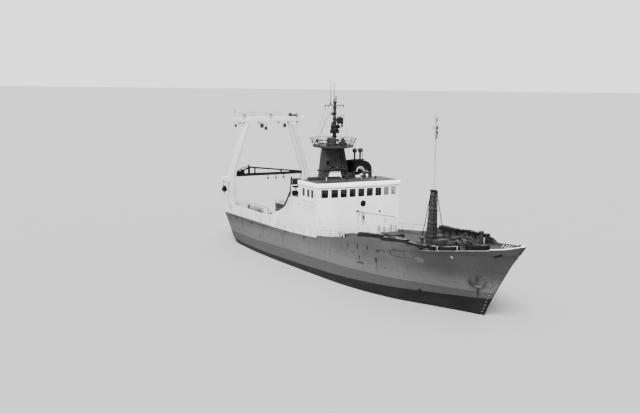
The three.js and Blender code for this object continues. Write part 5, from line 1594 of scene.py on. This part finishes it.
def make_foredeck_gear():
    dark = []
    for side, _ in SIDES:
        # The mouth of the chain pipe, its chain and the stopper over it
        y = side * 0.62
        floor, foot = deck(17.2, y), deck(16.3, y)
        dark.append(turned([(0.16, 0), (0.27, 0.0), (0.27, 0.1), (0.2, 0.16), (0.16, 0.16), (0.16, 0)],
                           (17.2, y, floor), sides=24))
        dark += chain((15.1, y, 5.62), (17.0, y, floor + 0.2))
        dark += casing((16.1, y - 0.2, foot - 0.02), (16.5, y + 0.2, foot + 0.28), 2)
    # The windlass motor
    dark += casing((14.0, -0.45, 4.93), (14.34, 0.45, 5.55), 3)
    dark.append(rod((14.15, -0.4, 5.7), (14.15, 0.5, 5.7), 0.18, None, 20, 0.02))
    end = [(0, 0), (0.2, 0), (0.22, 0.03), (0.2, 0.06), (0, 0.06)]
    dark.append(turned(end, (14.15, 0.52, 5.7), (0, 1, 0)))
    # Vents, then casings along the deck
    hood = [(0, 0), (0.24, 0), (0.27, 0.06), (0.2, 0.14), (0, 0.16)]
    for x, y, tall in ((13.75, 3.15, 1.0), (13.55, -2.9, 0.9)):
        floor = deck(x, y)
        dark.append(post(x, y, floor - 0.03, floor + tall, 0.15, 0.13, 16, 0.02))
        dark.append(turned(hood, (x, y, floor + tall - 0.02)))
    for x0, y0, x1, y1, tall in ((7.4, -2.4, 8.6, -1.3, 0.5), (8.9, 1.2, 9.9, 2.3, 0.55),
                                 (12.0, -1.0, 12.7, 0.6, 0.5), (1.2, -3.4, 2.2, -2.2, 0.45)):
        floor = deck((x0 + x1) / 2, (y0 + y1) / 2) - 0.03
        dark += casing((x0, y0, floor), (x1, y1, floor + tall), 4)
    settle(dark, "foredeck_machinery", DARK)
    ropes = [coil((x, y, deck(x, y) + 0.04), radius, 0.045, 5) for x, y, radius in (
        (18.6, 0.9, 0.42), (18.8, -0.8, 0.4), (10.0, -2.8, 0.5), (7.6, 2.6, 0.45), (12.6, 1.7, 0.4),
        (5.2, -2.9, 0.45))]
    settle(ropes, "foredeck_rope_coils", DARK_ROPE)
    heaps = [mound((8.9, -3.9, deck(10.0, -3.0) - 0.02), (12.2, -1.6, 5.25), 2.2, 0.8),
             mound((6.3, -3.7, deck(7.0, -3.0) - 0.02), (8.6, -2.5, 4.9), 0.9, 0.8),
             mound((15.9, -2.2, deck(16.6, -1.6) - 0.02), (18.1, -1.0, 5.62), 3.9, 0.6)]
    settle(heaps, "foredeck_nets", NET)
    # Two dark posts and a pale one by the break of the bulwark
    posts = [rod((13.75, side * 3.7, 4.8), (13.75, side * 3.72, 5.6), 0.12, 0.1, 14, 0.02)
             for side, _ in SIDES]
    settle(posts, "bulwark_posts", BLACK)
    settle(post(13.45, 3.72, 4.8, 5.4, 0.06, None, 12, 0.01), "pale_post", PALE)


def make_hatch_details():
    for body, x0, x1, half, top in (("fore_hatch", 3.8, 5.5, 0.8, 4.71),
                                    ("fish_hatch", -15.5, -13.2, 1.1, 3.88)):
        dog = merged([post(0, 0, -0.02, 0.09, 0.022),
                      block((-0.07, -0.025, 0.03), (0.07, 0.025, 0.055), 0.008)])
        moves = [shift(x0 + 0.15 + (x1 - x0 - 0.3) * place / 4, side * (half - 0.09), top)
                 for place in range(5) for side, _ in SIDES]
        settle(spread(dog, moves), f"{body}_dogs", MACHINE, body)
        grip = ((-0.12, -0.01), (-0.12, 0.07), (0.12, 0.07), (0.12, -0.01))
        grips = [tube([(x0 + 0.35, y + along, top + rise) for along, rise in grip], 0.016)
                 for y in (-half / 2, half / 2)]
        settle(grips, f"{body}_grips", PALE, body)


make_foremast_fittings()
make_foredeck_gear()
make_hatch_details()


# Hull

# Openings in the plating, drawn as black blocks whose black is painted shade: x, z, half the length, half the
# height
OPENINGS = (
    (21.25, 5.45, 0.4, 0.08), (8.56, 3.22, 0.09, 0.2), (6.14, 3.09, 0.05, 0.16), (4.35, 3.95, 0.04, 0.14),
    (5.95, 4.02, 0.05, 0.2), (7.51, 4.13, 0.05, 0.16), (9.02, 4.1, 0.1, 0.08), (10.76, 4.29, 0.04, 0.24),
    (13.02, 1.27, 0.16, 0.1), (-4.0, 3.3, 0.12, 0.08), (-8.0, 3.3, 0.12, 0.08),
    (-16.0, 3.05, 0.12, 0.08), (-20.0, 3.05, 0.12, 0.08))
# Bars and seams along the plating: x from and to, z from and to, radius, stand-off
STRIPS = ((8.63, 15.63, 4.13, 5.23, 0.02, 0.02), (12.81, 11.18, 3.47, 1.86, 0.012, 0.0),
          (-22.5, -12.0, 3.3, 3.3, 0.07, 0.02), (10.9, 12.5, 4.0, 4.06, 0.012, 0.0),
          (10.9, 12.5, 4.55, 4.61, 0.012, 0.0))


def strip(side, x0, x1, z0, z1, radius, stand):
    points = []
    for share in [place / 24 for place in range(25)]:
        spot, normal = skin(x0 + (x1 - x0) * share, z0 + (z1 - z0) * share, side)
        points.append(spot + normal * stand)
    return tube(points, radius, rings=2)


def make_hull_fittings():
    for side, word in SIDES:
        settle([strip(side, *row) for row in STRIPS], f"hull_strips_{word}", HULL)
        # Black blocks on the plating: painted shade where the openings are
        slots = [on_skin(block((-half, -tall, -0.02), (half, tall, 0.025), 0.012), x, z, side)
                 for x, z, half, tall in OPENINGS]
        settle(slots, f"hull_openings_{word}", BLACK)
        spot, normal = skin(17.56, 4.86, side)
        dot = turned([(0, -0.02), (0.13, -0.02), (0.13, 0.02), (0.08, 0.05), (0, 0.055)], spot, normal, 20)
        settle(dot, f"hull_roundel_{word}", DULL_PALE)
        anodes = [on_skin(block((-0.28, -0.07, -0.02), (0.28, 0.07, 0.06)), -14.0 + 2.6 * place, -2.2, side)
                  for place in range(9)]
        settle(anodes, f"anodes_{word}", STEEL)
        # Draught ticks up the raked stem
        marks = []
        for z in [0.05 + 0.3 * place for place in range(8)]:
            x = 18.2 + (19.59 - 18.2) * (z + 0.06) / 2.34
            marks.append(on_skin(block((-0.07, -0.012, -0.01), (0.07, 0.012, 0.006), 0), x, z, side))
        settle(marks, f"draught_ticks_{word}", PALE)


make_hull_fittings()
for _, word in SIDES:
    reworked(f"anchor_{word}", ANCHOR_COAT, 0.03)
